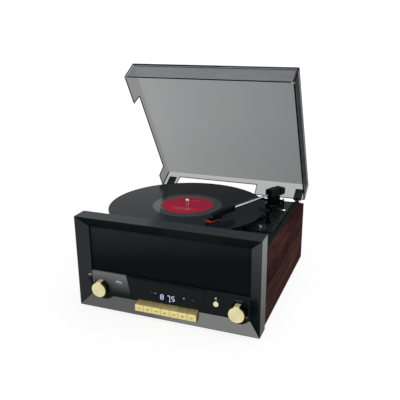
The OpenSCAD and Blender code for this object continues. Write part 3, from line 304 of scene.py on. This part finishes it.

# The fascia is a glossy black strip under the grille. A trapezoid bay is sunk round the
# disc drawer, its left end is rougher and painted a lighter grey, a painted sheen, and its
# marks are printed: plain triangles, bars and dots.
fascia_black = Finish("fascia_gloss", Specular_IOR_Level=0.12)
smear = fascia_black.noise(fascia_black.place(stretch=(1, 1, 2.5)), 22, 4)
dust = fascia_black.noise(fascia_black.place(), 900, 1)
across, _, up = fascia_black.split(fascia_black.place())
bay_end, bay_slant, strip_low = 0.067, 0.214, 0.0245
end_field = (across + bay_end + (up - strip_low) * bay_slant).below(0)
# The left end is painted a lighter grey that grows towards the top: painted sheen.
haze_and_painted_sheen = end_field * up.rising(30, -0.95)
gloss_black = fascia_black.mix(smear, (0.0035, 0.0068, 0.0080), (0.007, 0.011, 0.0135))
fascia_black.surface(Base_Color=fascia_black.mix(haze_and_painted_sheen, gloss_black, (0.225, 0.237, 0.250)),
                     Roughness=0.14 + smear * 0.12 + dust * 0.05 + end_field * 0.15,
                     Normal=fascia_black.bump(smear, 0.05, 0.0004))
eased("fascia_strip", "control_fascia", 0.0003, fascia_black, "cabinet")


def at(x, back, up):
    """A point by its distances in mm: right of the middle, behind the front, above the base."""
    return Vector((x, back - 166.5, up + 5)) / 1000


def bit(corners, x, up, back, radius, turn=0.0, thick=0.15, squeeze=(1, 1)):
    """A printed or inlaid figure with so many corners, standing upright. Lengths in mm."""
    bpy.ops.object.select_all(action="DESELECT")
    bpy.ops.mesh.primitive_circle_add(vertices=corners, radius=radius / 1000, fill_type="NGON")
    piece = bpy.context.object
    piece.rotation_euler = (0, 0, turn)
    bpy.ops.object.transform_apply()
    piece.scale = (squeeze[0], squeeze[1], 1)
    bpy.ops.object.transform_apply()
    piece.rotation_euler = (math.radians(90), 0, 0)
    piece.location = at(x, back, up)
    bpy.ops.object.transform_apply()
    bpy.ops.object.mode_set(mode="EDIT")
    bpy.ops.mesh.select_all(action="SELECT")
    bpy.ops.mesh.extrude_region_move(
        TRANSFORM_OT_translate={"value": (0, -thick / 1000, 0)})
    bpy.ops.mesh.select_all(action="SELECT")
    bpy.ops.mesh.normals_make_consistent(inside=False)
    bpy.ops.object.mode_set(mode="OBJECT")
    return piece


def bar(x, up, back, wide, tall, thick=0.15):
    """A printed bar."""
    return bit(4, x, up, back, math.sqrt(0.5), math.radians(45), thick, (wide, tall))


def gather(name, pieces):
    """Joins shapes into one piece."""
    only(pieces[0])
    if len(pieces) > 1:
        for piece in pieces:
            piece.select_set(True)
        bpy.ops.object.join()
    pieces[0].name = name
    return pieces[0]


UP, RIGHT, LEFT = math.radians(90), 0.0, math.radians(180)


def printed(name, thin, full, grain=1500, rough=0.45):
    """A printing ink that is worn thin in places."""
    finish = Finish(name, Specular_IOR_Level=0.3)
    wear = finish.noise(finish.place(), grain, 2)
    return finish.surface(Base_Color=finish.mix(wear, thin, full), Roughness=rough + wear * 0.2)


white_print = printed("white_print", (0.62, 0.62, 0.64), (0.85, 0.85, 0.86))
grey_print = printed("grey_print", (0.10, 0.11, 0.12), (0.17, 0.18, 0.19))
face = 12.02
marks = [bit(3, 84.6, 50.2, face, 2.3, UP), bar(84.6, 47.9, face, 4.0, 0.7),
         bit(24, 136.6, 25.2, face, 1.0), bit(20, 29.4, 39.4, face, 1.25),
         bar(-91.8, 51.2, face, 4.4, 0.6)]
mount(gather("fascia_marks", marks), white_print, "cabinet")
knob_x, knob_up, scale_reach, scale_dots = 123, 34, 16.9, 9
marks = [bar(knob_x, 52.4, face, 13, 0.8), bar(-knob_x, 52.4, face, 13, 0.8),
         bar(-29.0, 40.1, face, 4.4, 0.9), bar(45.2, 38.9, face, 4.6, 0.9)]
for step in range(scale_dots):
    angle = math.radians(240 - step * 300 / (scale_dots - 1))
    marks += [bit(12, x + scale_reach * math.cos(angle), knob_up + scale_reach * math.sin(angle),
                  face, 0.42) for x in (-knob_x, knob_x)]
mount(gather("knob_scales", marks), grey_print, "cabinet")

# A dark lens lies flush in the fascia over the digits: seven-segment bars that light
# up pale blue-white behind it, with a small mark beside them.
lens = Finish("display_lens", Specular_IOR_Level=0.12, Roughness=0.12)
tint = lens.noise(lens.place(), 30, 2)
lens.surface(Base_Color=lens.mix(tint, (0.004, 0.005, 0.009), (0.007, 0.008, 0.014)))
paint("display_window", lens)
segments = {"8": "abcdefg", "7": "abc", "5": "acdfg"}
height = {"a": 1, "b": 0.5, "c": -0.5, "d": -1, "e": -0.5, "f": 0.5, "g": 0}
face, thick, middle = 12.98, 0.12, 34.3
tall, wide, slant = 8.3, 4.9, 0.08
lit = []
for digit, x in (("8", -10.4), ("7", 1.2), ("5", 9.6)):
    for segment in segments[digit]:
        up = height[segment] * tall / 2
        if segment in "adg":
            across, turn, size = 0, 0, (wide * 0.92, 1.0)
        else:
            across, turn, size = wide / 2, UP, (1.0, tall * 0.46)
        if segment in "ef":
            across = -across
        lit.append(bit(6, x + across + slant * up, middle + up, face, 0.5, turn, thick, size))
lit.append(bit(16, 3.4, 28.4, face, 0.95, 0, thick))
glow = Finish("lit_segments", Emission_Color=(0.72, 0.70, 1.0), Roughness=0.5)
shimmer = glow.noise(glow.place(), 700, 1)
glow.surface(Base_Color=glow.mix(shimmer, (0.5, 0.5, 0.8), (0.7, 0.7, 0.95)),
             Emission_Strength=1.2)
mount(gather("display_digits", lit), glow, "cabinet")
faint = [bar(-22.6, 39.2, face, 4.2, 0.8, thick)]
dim = Finish("dim_segments", Emission_Color=(0.55, 0.58, 0.75), Roughness=0.5)
shimmer = dim.noise(dim.place(), 700, 1)
dim.surface(Base_Color=dim.mix(shimmer, (0.2, 0.2, 0.3), (0.3, 0.3, 0.4)),
            Emission_Strength=0.3)
mount(gather("display_marks", faint), dim, "cabinet")

# The disc drawer's front is a glossy trapezoid that fills the slot, and its tray is a
# dark moulding with a round recess for the disc.
eased("drawer_front", "cd_drawer_front", 0.0004, fascia_black, "tray")
tray_black = moulded("tray_plastic", (0.014, 0.015, 0.017), 0.5, 0.00005, 0.35)
eased("drawer_tray", "cd_tray", 0.0004, tray_black, "tray")

# Knobs, keys and the eject button are plastic, plated in pale gold. The knobs' sides are
# cut in flats for the fingers, and their faces are spun with fine rings. On the knobs the
# top flat is painted pale and less metallic, a painted highlight, the rest of the sides are
# painted nearly black, painted shade, and the faces carry a painted wedge of darker
# reflection. The keys' signs are printed in dark ink.
def plated(name, colour, rough, centre=None):
    """Gold plating over plastic: fine brushing, in rings where a centre is given. There the
    top flat has a painted highlight, the other sides painted shade, the face a painted wedge.
    """
    finish = Finish(name, Metallic=1.0, Specular_IOR_Level=0.5)
    if centre:
        brushed = finish.node("TexWave", {"wave_type": "RINGS", "rings_direction": "Y"},
                              Vector=finish.place(shift=tuple(-c for c in centre)), Scale=560,
                              Distortion=0.3, Detail=1)
    else:
        brushed = finish.noise(finish.place(stretch=(1, 1, 14)), 700, 2)
    tarnish = finish.noise(finish.place(), 90, 3)
    deep = tuple(c * 0.86 for c in colour)
    shade = finish.mix(tarnish * 0.7 + brushed * 0.2, colour, deep)
    if centre:
        face_radius, flat_half = 0.0131, 0.0043
        x, _, z = finish.split(finish.place(shift=tuple(-c for c in centre)))
        rim = (x * x + z * z).above(face_radius ** 2)
        # The face is painted darker in a wedge through its upper right and lower left: painted
        # reflection.
        painted_reflection_wedge = (x - z) * (x - z) / (x * x + z * z + 0.000001) * 0.5
        # The top flat is painted pale gold and less metallic, a painted highlight, and the rest
        # of the side nearly black, painted shade.
        flat = rim * z.above(0) * (x * x).below(flat_half ** 2)
        sides = finish.mix(flat, (0.07, 0.05, 0.012), (0.98, 0.92, 0.56))
        shade = finish.mix(painted_reflection_wedge, tuple(c * 0.84 for c in colour), shade)
        shade = finish.mix(rim, shade, sides)
        finish.surface(Metallic=1 - flat * 0.8)
    return finish.surface(Base_Color=shade, Roughness=rough + brushed * 0.06 + tarnish * 0.06,
                          Normal=finish.bump(brushed, 0.2, 0.00002))


for name, x in (("tuning", -knob_x), ("volume", knob_x)):
    gold = plated(name + "_gold", (1.0, 0.92, 0.54), 0.3, at(x, 0, knob_up))
    eased(name + "_dial", name + "_knob", 0.0005, gold, name, 3, 20)
key_gold = plated("key_gold", (1.0, 0.86, 0.39), 0.42)
eject_gold = plated("eject_gold", (1.0, 0.93, 0.56), 0.32)
eased("eject_cap", "eject_button", 0.0003, eject_gold, "eject", 2, 30)
ink = printed("key_ink", (0.035, 0.022, 0.008), (0.07, 0.045, 0.018), 1800, 0.5)
front, thick, up, pitch = 0.05, 0.1, 12.9, 110.5 / 7
keys = ["source", "mode", "previous", "next", "play", "stop", "standby"]
for place, key in enumerate(keys):
    x = (place - keys.index("next")) * pitch
    eased(key + "_cap", "key_" + key, 0.0003, key_gold, "key_" + key, 2, 25)
    if key == "source":
        shapes = [bit(3, x + 1.6, up, front, 1.3, RIGHT, thick),
                  bar(x - 0.9, up, front, 3.2, 0.55, thick)]
    elif key == "mode":
        shapes = [bar(x, up + d, front, 4.2, 0.5, thick) for d in (-1.2, 0, 1.2)]
    elif key == "previous":
        shapes = [bit(3, x + d, up, front, 1.4, LEFT, thick) for d in (0, 2.1)]
        shapes.append(bar(x - 1.7, up, front, 0.5, 2.4, thick))
    elif key == "next":
        shapes = [bit(3, x - d, up, front, 1.4, RIGHT, thick) for d in (0, 2.1)]
        shapes.append(bar(x + 1.7, up, front, 0.5, 2.4, thick))
    elif key == "play":
        shapes = [bit(3, x - 1.6, up, front, 1.5, RIGHT, thick)]
        shapes += [bar(x + d, up, front, 0.6, 2.6, thick) for d in (1, 2.3)]
    elif key == "stop":
        shapes = [bar(x, up, front, 2.4, 2.4, thick)]
    else:
        ring = 1.55
        shapes = [bit(8, x + ring * math.cos(a), up + ring * math.sin(a), front, 0.42, 0, thick)
                  for a in (math.radians(90 + s * 36) for s in range(1, 10))]
        shapes.append(bar(x, up + 1.4, front, 0.5, 1.9, thick))
    mount(gather(key + "_symbol", shapes), ink, "key_" + key)
bright_steel = Finish("bright_steel", Metallic=1.0)
scratch = bright_steel.noise(bright_steel.place(stretch=(60, 60, 900)), 1, 2)
bright_steel.surface(Base_Color=bright_steel.mix(scratch, (0.50, 0.51, 0.53),
                                                 (0.66, 0.67, 0.69)),
                     Roughness=0.24 + scratch * 0.16)
for node in ("volume_shaft", "tuning_shaft"):
    paint(node, bright_steel)

# The headphone jack looks out of the bevel through a black ring, under a plain printed
# arc with two ear pads. The data socket is a steel shell with a white tongue.
socket_black = moulded("socket_plastic", (0.010, 0.011, 0.012), 0.4, 0.00003, 0.4)
paint("headphone_jack", socket_black)
shell_steel = Finish("socket_shell", Metallic=1.0)
rub = shell_steel.noise(shell_steel.place(), 420, 3)
shell_steel.surface(Base_Color=shell_steel.mix(rub, (0.42, 0.43, 0.45), (0.60, 0.61, 0.63)),
                    Roughness=0.3 + rub * 0.15)
paint("usb_socket", shell_steel)
tongue_white = moulded("tongue_plastic", (0.62, 0.63, 0.66), 0.5, 0.00002, 0.4, 0.1)
bpy.ops.object.select_all(action="DESELECT")
bpy.ops.mesh.primitive_cube_add(size=1, location=at(-91.3, 18.6, 47.2))
tongue = bpy.context.object
tongue.name = "socket_tongue"
tongue.scale = (0.0114, 0.0112, 0.0030)
bpy.ops.object.transform_apply()
modify(tongue, "BEVEL", width=0.0003, segments=2)
mount(tongue, tongue_white, "cabinet")
bpy.ops.object.select_all(action="DESELECT")
bpy.ops.mesh.primitive_torus_add(major_segments=28, minor_segments=6, major_radius=0.0017,
                                 minor_radius=0.00045, rotation=(math.radians(90), 0, 0))
arch = bpy.context.object
bpy.ops.object.transform_apply()
bpy.ops.object.mode_set(mode="EDIT")
bpy.ops.mesh.select_all(action="SELECT")
bpy.ops.mesh.bisect(plane_co=(0, 0, -0.0002), plane_no=(0, 0, -1), clear_outer=True,
                    use_fill=True)
bpy.ops.object.mode_set(mode="OBJECT")
pads = [bar(d, -5.6, 166.5, 1.1, 1.9, 0.3) for d in (-1.7, 1.7)]
ears = gather("headphone_mark", [arch, *pads])
ears.rotation_euler = (0, 0, math.radians(33))
ears.location = at(-144.9, 10.0, 55.0)
mount(ears, white_print, "cabinet")

# The base board is raw fibreboard on four rubber feet. The back is a thin black moulding
# with vents, held by pan-head screws, and carries the mains inlet and the line sockets.
fibre = Finish("raw_fibreboard", Specular_IOR_Level=0.2)
fleck = fibre.noise(fibre.place(), 520, 4, 0.7)
patch = fibre.noise(fibre.place(), 26, 2)
fibre.surface(Base_Color=fibre.ramp(fleck * 0.7 + patch * 0.3,
                                    [(0.3, (0.09, 0.062, 0.042)), (0.5, (0.17, 0.12, 0.082)),
                                     (0.7, (0.25, 0.18, 0.125))]),
              Roughness=0.8 + fleck * 0.15, Normal=fibre.bump(fleck, 0.4, 0.0002))
paint("bottom_board", fibre)
foot_rubber = moulded("foot_rubber", (0.012, 0.012, 0.013), 0.75, 0.0001, 0.3)
paint("rubber_feet", foot_rubber)
back_black = moulded("back_plastic", (0.018, 0.019, 0.021), 0.55, 0.00012, 0.35)
eased("back_cover", "back_panel", 0.0004, back_black, "cabinet")
paint("cabinet_screws", bright_steel)
eased("inlet_moulding", "mains_inlet", 0.0003, socket_black, "cabinet")
paint("line_out_sockets", shell_steel)
for name, x, colour in (("red", -87, (0.5, 0.02, 0.02)), ("white", -105, (0.7, 0.7, 0.68))):
    ring_plastic = moulded(name + "_ring", colour, 0.4, 0.00003, 0.4, 0.1)
    bpy.ops.object.select_all(action="DESELECT")
    bpy.ops.mesh.primitive_torus_add(major_segments=40, minor_segments=10,
                                     major_radius=0.0051, minor_radius=0.0008,
                                     location=at(x, 333.6, 40),
                                     rotation=(math.radians(90), 0, 0))
    ring = bpy.context.object
    ring.name = name + "_line_ring"
    mount(ring, ring_plastic, "cabinet")

# The deck is one black moulding with a fine spark texture. Its well holds the platter,
# and the tonearm stands on a plinth of its own, screwed down and ribbed in front.
deck_black = moulded("deck_plastic", (0.0035, 0.0078, 0.0080), 0.42, 0.0001, 0.03)
eased("deck_moulding", "deck_plate", 0.0004, deck_black, "cabinet")
plinth_black = moulded("plinth_plastic", (0.003, 0.006, 0.0065), 0.26, 0.0002, 0.2, 0.4)
eased("plinth_moulding", "tonearm_plinth", 0.0004, plinth_black, "cabinet")

# The platter is a die-cast plate under a felt mat. The steel spindle comes up through
# the record, which is pressed vinyl with a paper label and grooves in five tracks.
cast = moulded("platter_cast", (0.020, 0.021, 0.023), 0.35, 0.00008, 0.5)
paint("platter", cast)
felt = Finish("mat_felt", Specular_IOR_Level=0.1, Sheen_Weight=0.3)
nap = felt.noise(felt.place(), 1500, 3, 0.7)
felt.surface(Base_Color=felt.mix(nap, (0.010, 0.010, 0.011), (0.030, 0.030, 0.032)),
             Roughness=0.95, Normal=felt.bump(nap, 0.6, 0.0003))
paint("slipmat", felt)
paint("spindle", bright_steel)
vinyl = Finish("vinyl", Specular_IOR_Level=0.035, Anisotropic=0.5, Coat_Roughness=0.06)
spindle_x, spindle_y = -0.041, 0.0355
x, y, _ = vinyl.split(vinyl.place(shift=(-spindle_x, -spindle_y, 0)))
reach = (x * x + y * y) ** 0.5
groove = vinyl.node("CombineXYZ", {}, reach, 0, 0)
fine = vinyl.noise(groove, 2400, 2)
track = vinyl.noise(groove, 60, 2)
gap = sum(((reach - spot) * (reach - spot)).below(0.0006 ** 2)
          for spot in (0.0715, 0.0893, 0.1075, 0.1262))
run_out, lead_in = reach.below(0.0665), reach.above(0.1468)
bare = run_out.either(lead_in).either(gap * 0.4)
# The run-out and the gaps between the tracks are painted a lighter grey: painted sheen. The
# tracks also vary a little at random.
vinyl.surface(Base_Color=vinyl.mix(run_out * 0.8 + gap * 0.3 + track * 0.15,
                                   (0.0025, 0.0068, 0.0105), (0.024, 0.030, 0.033)),
              Coat_Weight=run_out * 0.3,
              Roughness=0.13 + fine * 0.09 + track * 0.05 - bare * 0.06,
              Normal=vinyl.bump(fine * (1 - bare), 0.1, 0.00008))
paint("record", vinyl)
paper = Finish("label_paper", Specular_IOR_Level=0.03)
x, y, _ = paper.split(paper.place(shift=(-spindle_x, -spindle_y, 0)))
lines = sum(((y - row) * (y - row)).below(0.0005 ** 2) * (x * x).below(half ** 2)
            for row, half in ((0.027, 0.014), (-0.021, 0.024), (-0.027, 0.016)))
fibres = paper.noise(paper.place(), 260, 4)
paper.surface(Base_Color=paper.mix(lines * 0.5,
                                   paper.mix(fibres, (0.30, 0.003, 0.027), (0.37, 0.007, 0.038)),
                                   (0.75, 0.42, 0.45)),
              Roughness=0.16 + fibres * 0.1, Normal=paper.bump(fibres, 0.05, 0.0001))
record_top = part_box("record")[1].z
bpy.ops.object.select_all(action="DESELECT")
bpy.ops.mesh.primitive_circle_add(vertices=128, radius=0.0495, fill_type="NGON",
                                  location=(spindle_x, spindle_y, record_top + 0.00004))
label = bpy.context.object
label.name = "record_label"
bpy.ops.object.transform_apply()
bpy.ops.object.mode_set(mode="EDIT")
bpy.ops.mesh.select_all(action="SELECT")
for inset, rise in ((0.0006, 0.00009), (0.0322, 0), (0.0004, -0.00012), (0.0004, 0.00012),
                    (0.0122, 0)):
    bpy.ops.mesh.inset(thickness=inset, depth=rise)
bpy.ops.mesh.delete(type="FACE")
bpy.ops.object.mode_set(mode="OBJECT")
mount(label, paper, "turntable")

# Under the deck a small direct-current motor turns the platter through a rubber belt,
# which runs on a turned brass pulley and a ring under the platter.
brass = Finish("turned_brass", Metallic=1.0)
turning = brass.noise(brass.place(stretch=(40, 40, 2600)), 1, 2)
brass.surface(Base_Color=brass.mix(turning, (0.55, 0.38, 0.14), (0.70, 0.52, 0.24)),
              Roughness=0.22 + turning * 0.14)
paint("motor_pulley", brass)
paint("drive_motor", shell_steel)
paint("drive_belt", foot_rubber)

# The tonearm: a polished tube in a black hood on a turret, a weight behind, and a deep
# headshell in front that carries the cartridge and its red stylus holder.
polished = Finish("tube_polish", Metallic=1.0)
streak = polished.noise(polished.place(stretch=(300, 300, 300)), 1, 2)
polished.surface(Base_Color=polished.mix(streak, (0.46, 0.47, 0.50), (0.60, 0.61, 0.64)),
                 Roughness=0.16 + streak * 0.1)
paint("arm_tube", polished)
arm_black = moulded("arm_plastic", (0.0010, 0.0022, 0.0028), 0.2, 0.00002, 0.03, 0.5)
eased("arm_hood", "arm_yoke", 0.0006, arm_black, "yoke")
eased("balance_weight", "counterweight", 0.0007, arm_black, "tonearm")
# The headshell's front end is painted a lighter grey than its black body: painted light where
# the lamps fall on it.
head_painted_light = moulded("head_painted_light_face", (0.060, 0.064, 0.080), 0.35, 0.00002, 0.1, 0.2)
head = eased("head_sleeve", "headshell", 0.0004, [arm_black, head_painted_light], "tonearm",
             2, 25)
arm_side, arm_front = Vector((0.916, -0.400, 0)), Vector((-0.400, -0.916, 0))
for plate in head.data.polygons:
    plate.material_index = int(plate.normal.dot(arm_front) > 0.9)
eased("pickup_body", "cartridge", 0.0003, arm_black, "tonearm")
eased("turret_post", "arm_turret", 0.0004, arm_black, "cabinet")
caps, cap_reach = [], 0.00785
for side in (-cap_reach, cap_reach):
    bpy.ops.object.select_all(action="DESELECT")
    bpy.ops.mesh.primitive_cylinder_add(vertices=32, radius=0.0026, depth=0.0008,
                                        location=at(108, 286, 147) + arm_side * side,
                                        rotation=(0, math.radians(90), math.radians(-23.6)))
    caps.append(modify(bpy.context.object, "BEVEL", width=0.0003, segments=2))
mount(gather("pivot_caps", caps), arm_black, "yoke")
ruby = Finish("stylus_plastic", Specular_IOR_Level=0.4)
flow = ruby.noise(ruby.place(), 300, 3)
ruby.surface(Base_Color=ruby.mix(flow, (0.30, 0.012, 0.008), (0.48, 0.028, 0.012)),
             Roughness=0.25 + flow * 0.15)
eased("stylus_holder", "stylus", 0.0003, ruby, "tonearm")

# The arm's rest, clip, cue lever and lift bar are small black mouldings. The cue and
# speed levers have bright tips.
for node, body in (("arm_rest", "cabinet"), ("arm_clip", "clip"), ("lift_bar", "lift"),
                   ("cue_lever", "lever")):
    eased(node + "_moulding", node, 0.00025, arm_black, body)
chrome = Finish("lever_chrome", Metallic=1.0)
spot = chrome.noise(chrome.place(), 300, 2)
chrome.surface(Base_Color=chrome.mix(spot, (0.80, 0.81, 0.83), (0.92, 0.92, 0.94)),
               Roughness=0.07 + spot * 0.08)
paint("speed_lever", chrome)
bpy.ops.object.select_all(action="DESELECT")
bpy.ops.mesh.primitive_uv_sphere_add(segments=32, ring_count=16, radius=0.0034,
                                     location=at(135.97, 250.1, 126.5))
tip = bpy.context.object
tip.name = "cue_tip"
tip.scale.z = 0.85
mount(tip, chrome, "lever")

# The lid is pressed from smoked acrylic 2.5 mm thick. Its cut edges and corners are painted
# nearly black and opaque, a painted shade for the light that has further to go through them,
# and its faces are copies of one acrylic in different colours and see-through shares: the
# side walls painted darker than the top, the back and front lighter, painted light and
# shade. Where a place on it is told by its height or depth, that is with the lid shut.
hinge, lid_open = at(0, 339.5, 111.5), math.radians(59)
shut = Matrix.Rotation(lid_open, 3, "X")


def smoked(name, through, tone, level, slant=0.0, edge=0.6, rim=False):
    """Smoked acrylic that lets this share of the light through at each of its faces."""
    finish = Finish(name, IOR=1.49, Specular_IOR_Level=level)
    haze_and_painted_sheen = finish.noise(finish.place(), 9, 2)
    edgewise = finish.node("LayerWeight", {}, 0.5)
    edgewise.socket = edgewise.socket.node.outputs["Facing"]
    across, back, up = finish.split(finish.place())
    shade = finish.mix(haze_and_painted_sheen, tone, tuple(c * 1.3 for c in tone))
    veil = (1 - through) + across * slant + edgewise ** 4 * edge
    if rim:
        rim_up, rim_side = 0.1586, 0.1550
        shut_up = ((back - hinge.y) * math.sin(lid_open) + (up - hinge.z) * math.cos(lid_open)
                   + hinge.z)
        # Near the shut lid's top edge and its side rims the acrylic is painted nearly black and
        # opaque: painted shade.
        corner = shut_up.above(rim_up).either((across * across).above(rim_side ** 2))
        shade = finish.mix(corner, shade, (0.001, 0.003, 0.004))
        veil = veil + corner
    return finish.surface(Base_Color=shade, Alpha=veil, Roughness=0.05 + haze_and_painted_sheen * 0.03)


# Five copies of one acrylic, each with its own colour and see-through share: painted light and
# shade. The top grows more opaque towards the right.
acrylic = [smoked("acrylic_top", 0.50, (0.020, 0.040, 0.048), 0.12, 0.3),
           smoked("acrylic_sides", 0.51, (0.006, 0.009, 0.011), 0, 0, 0.22),
           smoked("acrylic_back", 0.66, (0.05, 0.062, 0.066), 0.03),
           smoked("acrylic_front", 0.77, (0.05, 0.07, 0.08), 0.05, rim=True),
           smoked("acrylic_edges", 0.02, (0.001, 0.003, 0.004), 0)]
TOP, SIDES, BACK, FRONT, EDGES = range(5)
corner_up, under_top, cut_area = 0.155, 0.161, 0.002
cover = eased("lid_cover", "lid", 0.0014, acrylic, "lid", 1)
for plate in cover.data.polygons:
    across, back, up = (abs(c) for c in shut @ plate.normal)
    middle = hinge + shut @ (plate.center - hinge)
    slanting = max(across, back, up) < 0.95
    upper = slanting and middle.z > corner_up
    if upper and across < 0.1 and middle.y > 0.15:
        plate.material_index = BACK
    elif upper and back < 0.1 and middle.x < 0:
        plate.material_index = SIDES
    elif slanting or (middle.z < under_top and (plate.area < cut_area or up > 0.9)):
        plate.material_index = EDGES
    elif up > 0.9:
        plate.material_index = TOP
    elif back < 0.9:
        plate.material_index = SIDES
    else:
        plate.material_index = BACK if middle.y > 0 else FRONT
only(cover)
bpy.ops.object.mode_set(mode="EDIT")
bpy.ops.mesh.select_all(action="SELECT")
bpy.ops.mesh.vert_connect_concave()
bpy.ops.object.mode_set(mode="OBJECT")
pad_clear = moulded("clear_pad", (0.40, 0.41, 0.43), 0.3, 0.00002, 0.5, 0.1)
paint("lid_bumpers", pad_clear)

# Two black hinges hold the lid: brackets screwed to the back, and ribbed sockets that
# grip the lid's back wall and turn on a pin.
hinge_black = moulded("hinge_plastic", (0.008, 0.009, 0.010), 0.4, 0.00004, 0.45)
eased("hinge_leaves", "hinge_brackets", 0.0003, hinge_black, "cabinet")
eased("hinge_sockets", "lid_hinge_arms", 0.0003, hinge_black, "lid")

# Inside: two paper-cone speakers, circuit boards with green solder mask and copper
# tracks, the disc player and the mains transformer with its stacked iron core.
driver = Finish("speaker_cone", Specular_IOR_Level=0.3)
pulp = driver.noise(driver.place(), 800, 3)
driver.surface(Base_Color=driver.mix(pulp, (0.018, 0.018, 0.019), (0.05, 0.05, 0.052)),
               Roughness=0.65 + pulp * 0.2, Normal=driver.bump(pulp, 0.3, 0.0002))
paint("speakers", driver)
mask = Finish("solder_mask", Specular_IOR_Level=0.5)
tracks = mask.node("TexBrick", {"offset": 0.37, "squash": 0.6}, Vector=mask.place(),
                   Color1=(0.012, 0.075, 0.035), Color2=(0.016, 0.10, 0.045),
                   Mortar=(0.05, 0.20, 0.08), Scale=90, Mortar_Size=0.06)
joints = mask.node("TexVoronoi", {}, Vector=mask.place(), Scale=210)
joints = Thread(mask, joints.socket.node.outputs["Distance"])
mask.surface(Base_Color=mask.mix(joints.below(0.16), tracks, (0.42, 0.42, 0.40)),
             Metallic=joints.below(0.16) * 0.8, Roughness=0.35 + joints * 0.2)
paint("control_board", mask)
paint("main_board", mask)
core = Finish("core_steel", Metallic=0.7)
plates = core.node("TexWave", {"wave_type": "BANDS", "bands_direction": "Y"},
                   Vector=core.place(), Scale=310)
varnish = core.noise(core.place(), 60, 3)
core.surface(Base_Color=core.mix(plates * 0.6 + varnish * 0.3, (0.16, 0.12, 0.08),
                                 (0.32, 0.27, 0.20)), Roughness=0.45 + varnish * 0.2)
paint("transformer", core)
loader = moulded("loader_plastic", (0.030, 0.031, 0.033), 0.5, 0.00006, 0.4)
paint("cd_chassis", loader)
paint("laser_sled", loader)
hub_white = moulded("hub_plastic", (0.55, 0.55, 0.54), 0.45, 0.00004, 0.4, 0.1)
paint("cd_hub", hub_white)

# A pale floor carries the set's shadow, and soft light falls from above, from the
# right and from the front. The camera sees floor and sky as plain white.
bpy.ops.object.select_all(action="DESELECT")
bpy.ops.mesh.primitive_plane_add(size=60, location=(0, 0, -0.0003))
floor = bpy.context.object
floor.name = "floor"
pale = Finish("floor_pale", Base_Color=(0.6, 0.6, 0.6), Roughness=0.9, Specular_IOR_Level=0.1)


def seen(finish, gloss):
    """1 for rays from the camera and through clear plastic, and a share for rays off a gloss."""
    rays = finish.node("LightPath").socket.node.outputs
    straight = Thread(finish, rays["Is Camera Ray"])
    through = Thread(finish, rays["Is Transmission Ray"])
    return straight.either(through).either(Thread(finish, rays["Is Glossy Ray"]) * gloss)


x, y, _ = pale.split(pale.place())
far = ((x * x + y * y) ** 0.5).rising(0.8, -0.4)
white = pale.node("Emission", {}, Color=(1, 1, 1), Strength=1.1)
both = pale.node("MixShader", {}, seen(pale, 0.62) * (0.8 + far * 0.2),
                 Thread(pale, pale.shader.outputs[0]), white)
pale.tree.links.new(both.socket, pale.tree.nodes["Material Output"].inputs["Surface"])
floor.data.materials.append(pale.material)
world = bpy.data.worlds.new("studio")
bpy.context.scene.world = world
world.use_nodes = True
sky = Finish.__new__(Finish)  # lends its node helpers to the world, which has no material
sky.tree = world.node_tree
ground = world.node_tree.nodes["Background"]
world.node_tree.links.new((seen(sky, 1) * 0.5 + 0.5).socket, ground.inputs["Strength"])
ground.inputs["Color"].default_value = (1, 1, 1, 1)


def lamp(name, spot, aim, size, power):
    """A soft box that hangs at a spot and shines at a point."""
    light = bpy.data.objects.new(name, bpy.data.lights.new(name, "AREA"))
    bpy.context.collection.objects.link(light)
    light.data.shape = "RECTANGLE"
    light.data.size, light.data.size_y = size
    light.data.energy = power
    light.location = spot
    light.rotation_euler = (Vector(aim) - Vector(spot)).to_track_quat("-Z", "Y").to_euler()


lamp("top_box", (0.1, 0.1, 1.6), (0, 0, 0.1), (1.4, 1.0), 14)
lamp("right_box", (1.5, 0.1, 0.6), (0, 0, 0.1), (0.9, 0.9), 9)
lamp("front_box", (0.0, -1.36, 0.95), (0, -0.16, 0.05), (1.25, 0.6), 2.2)
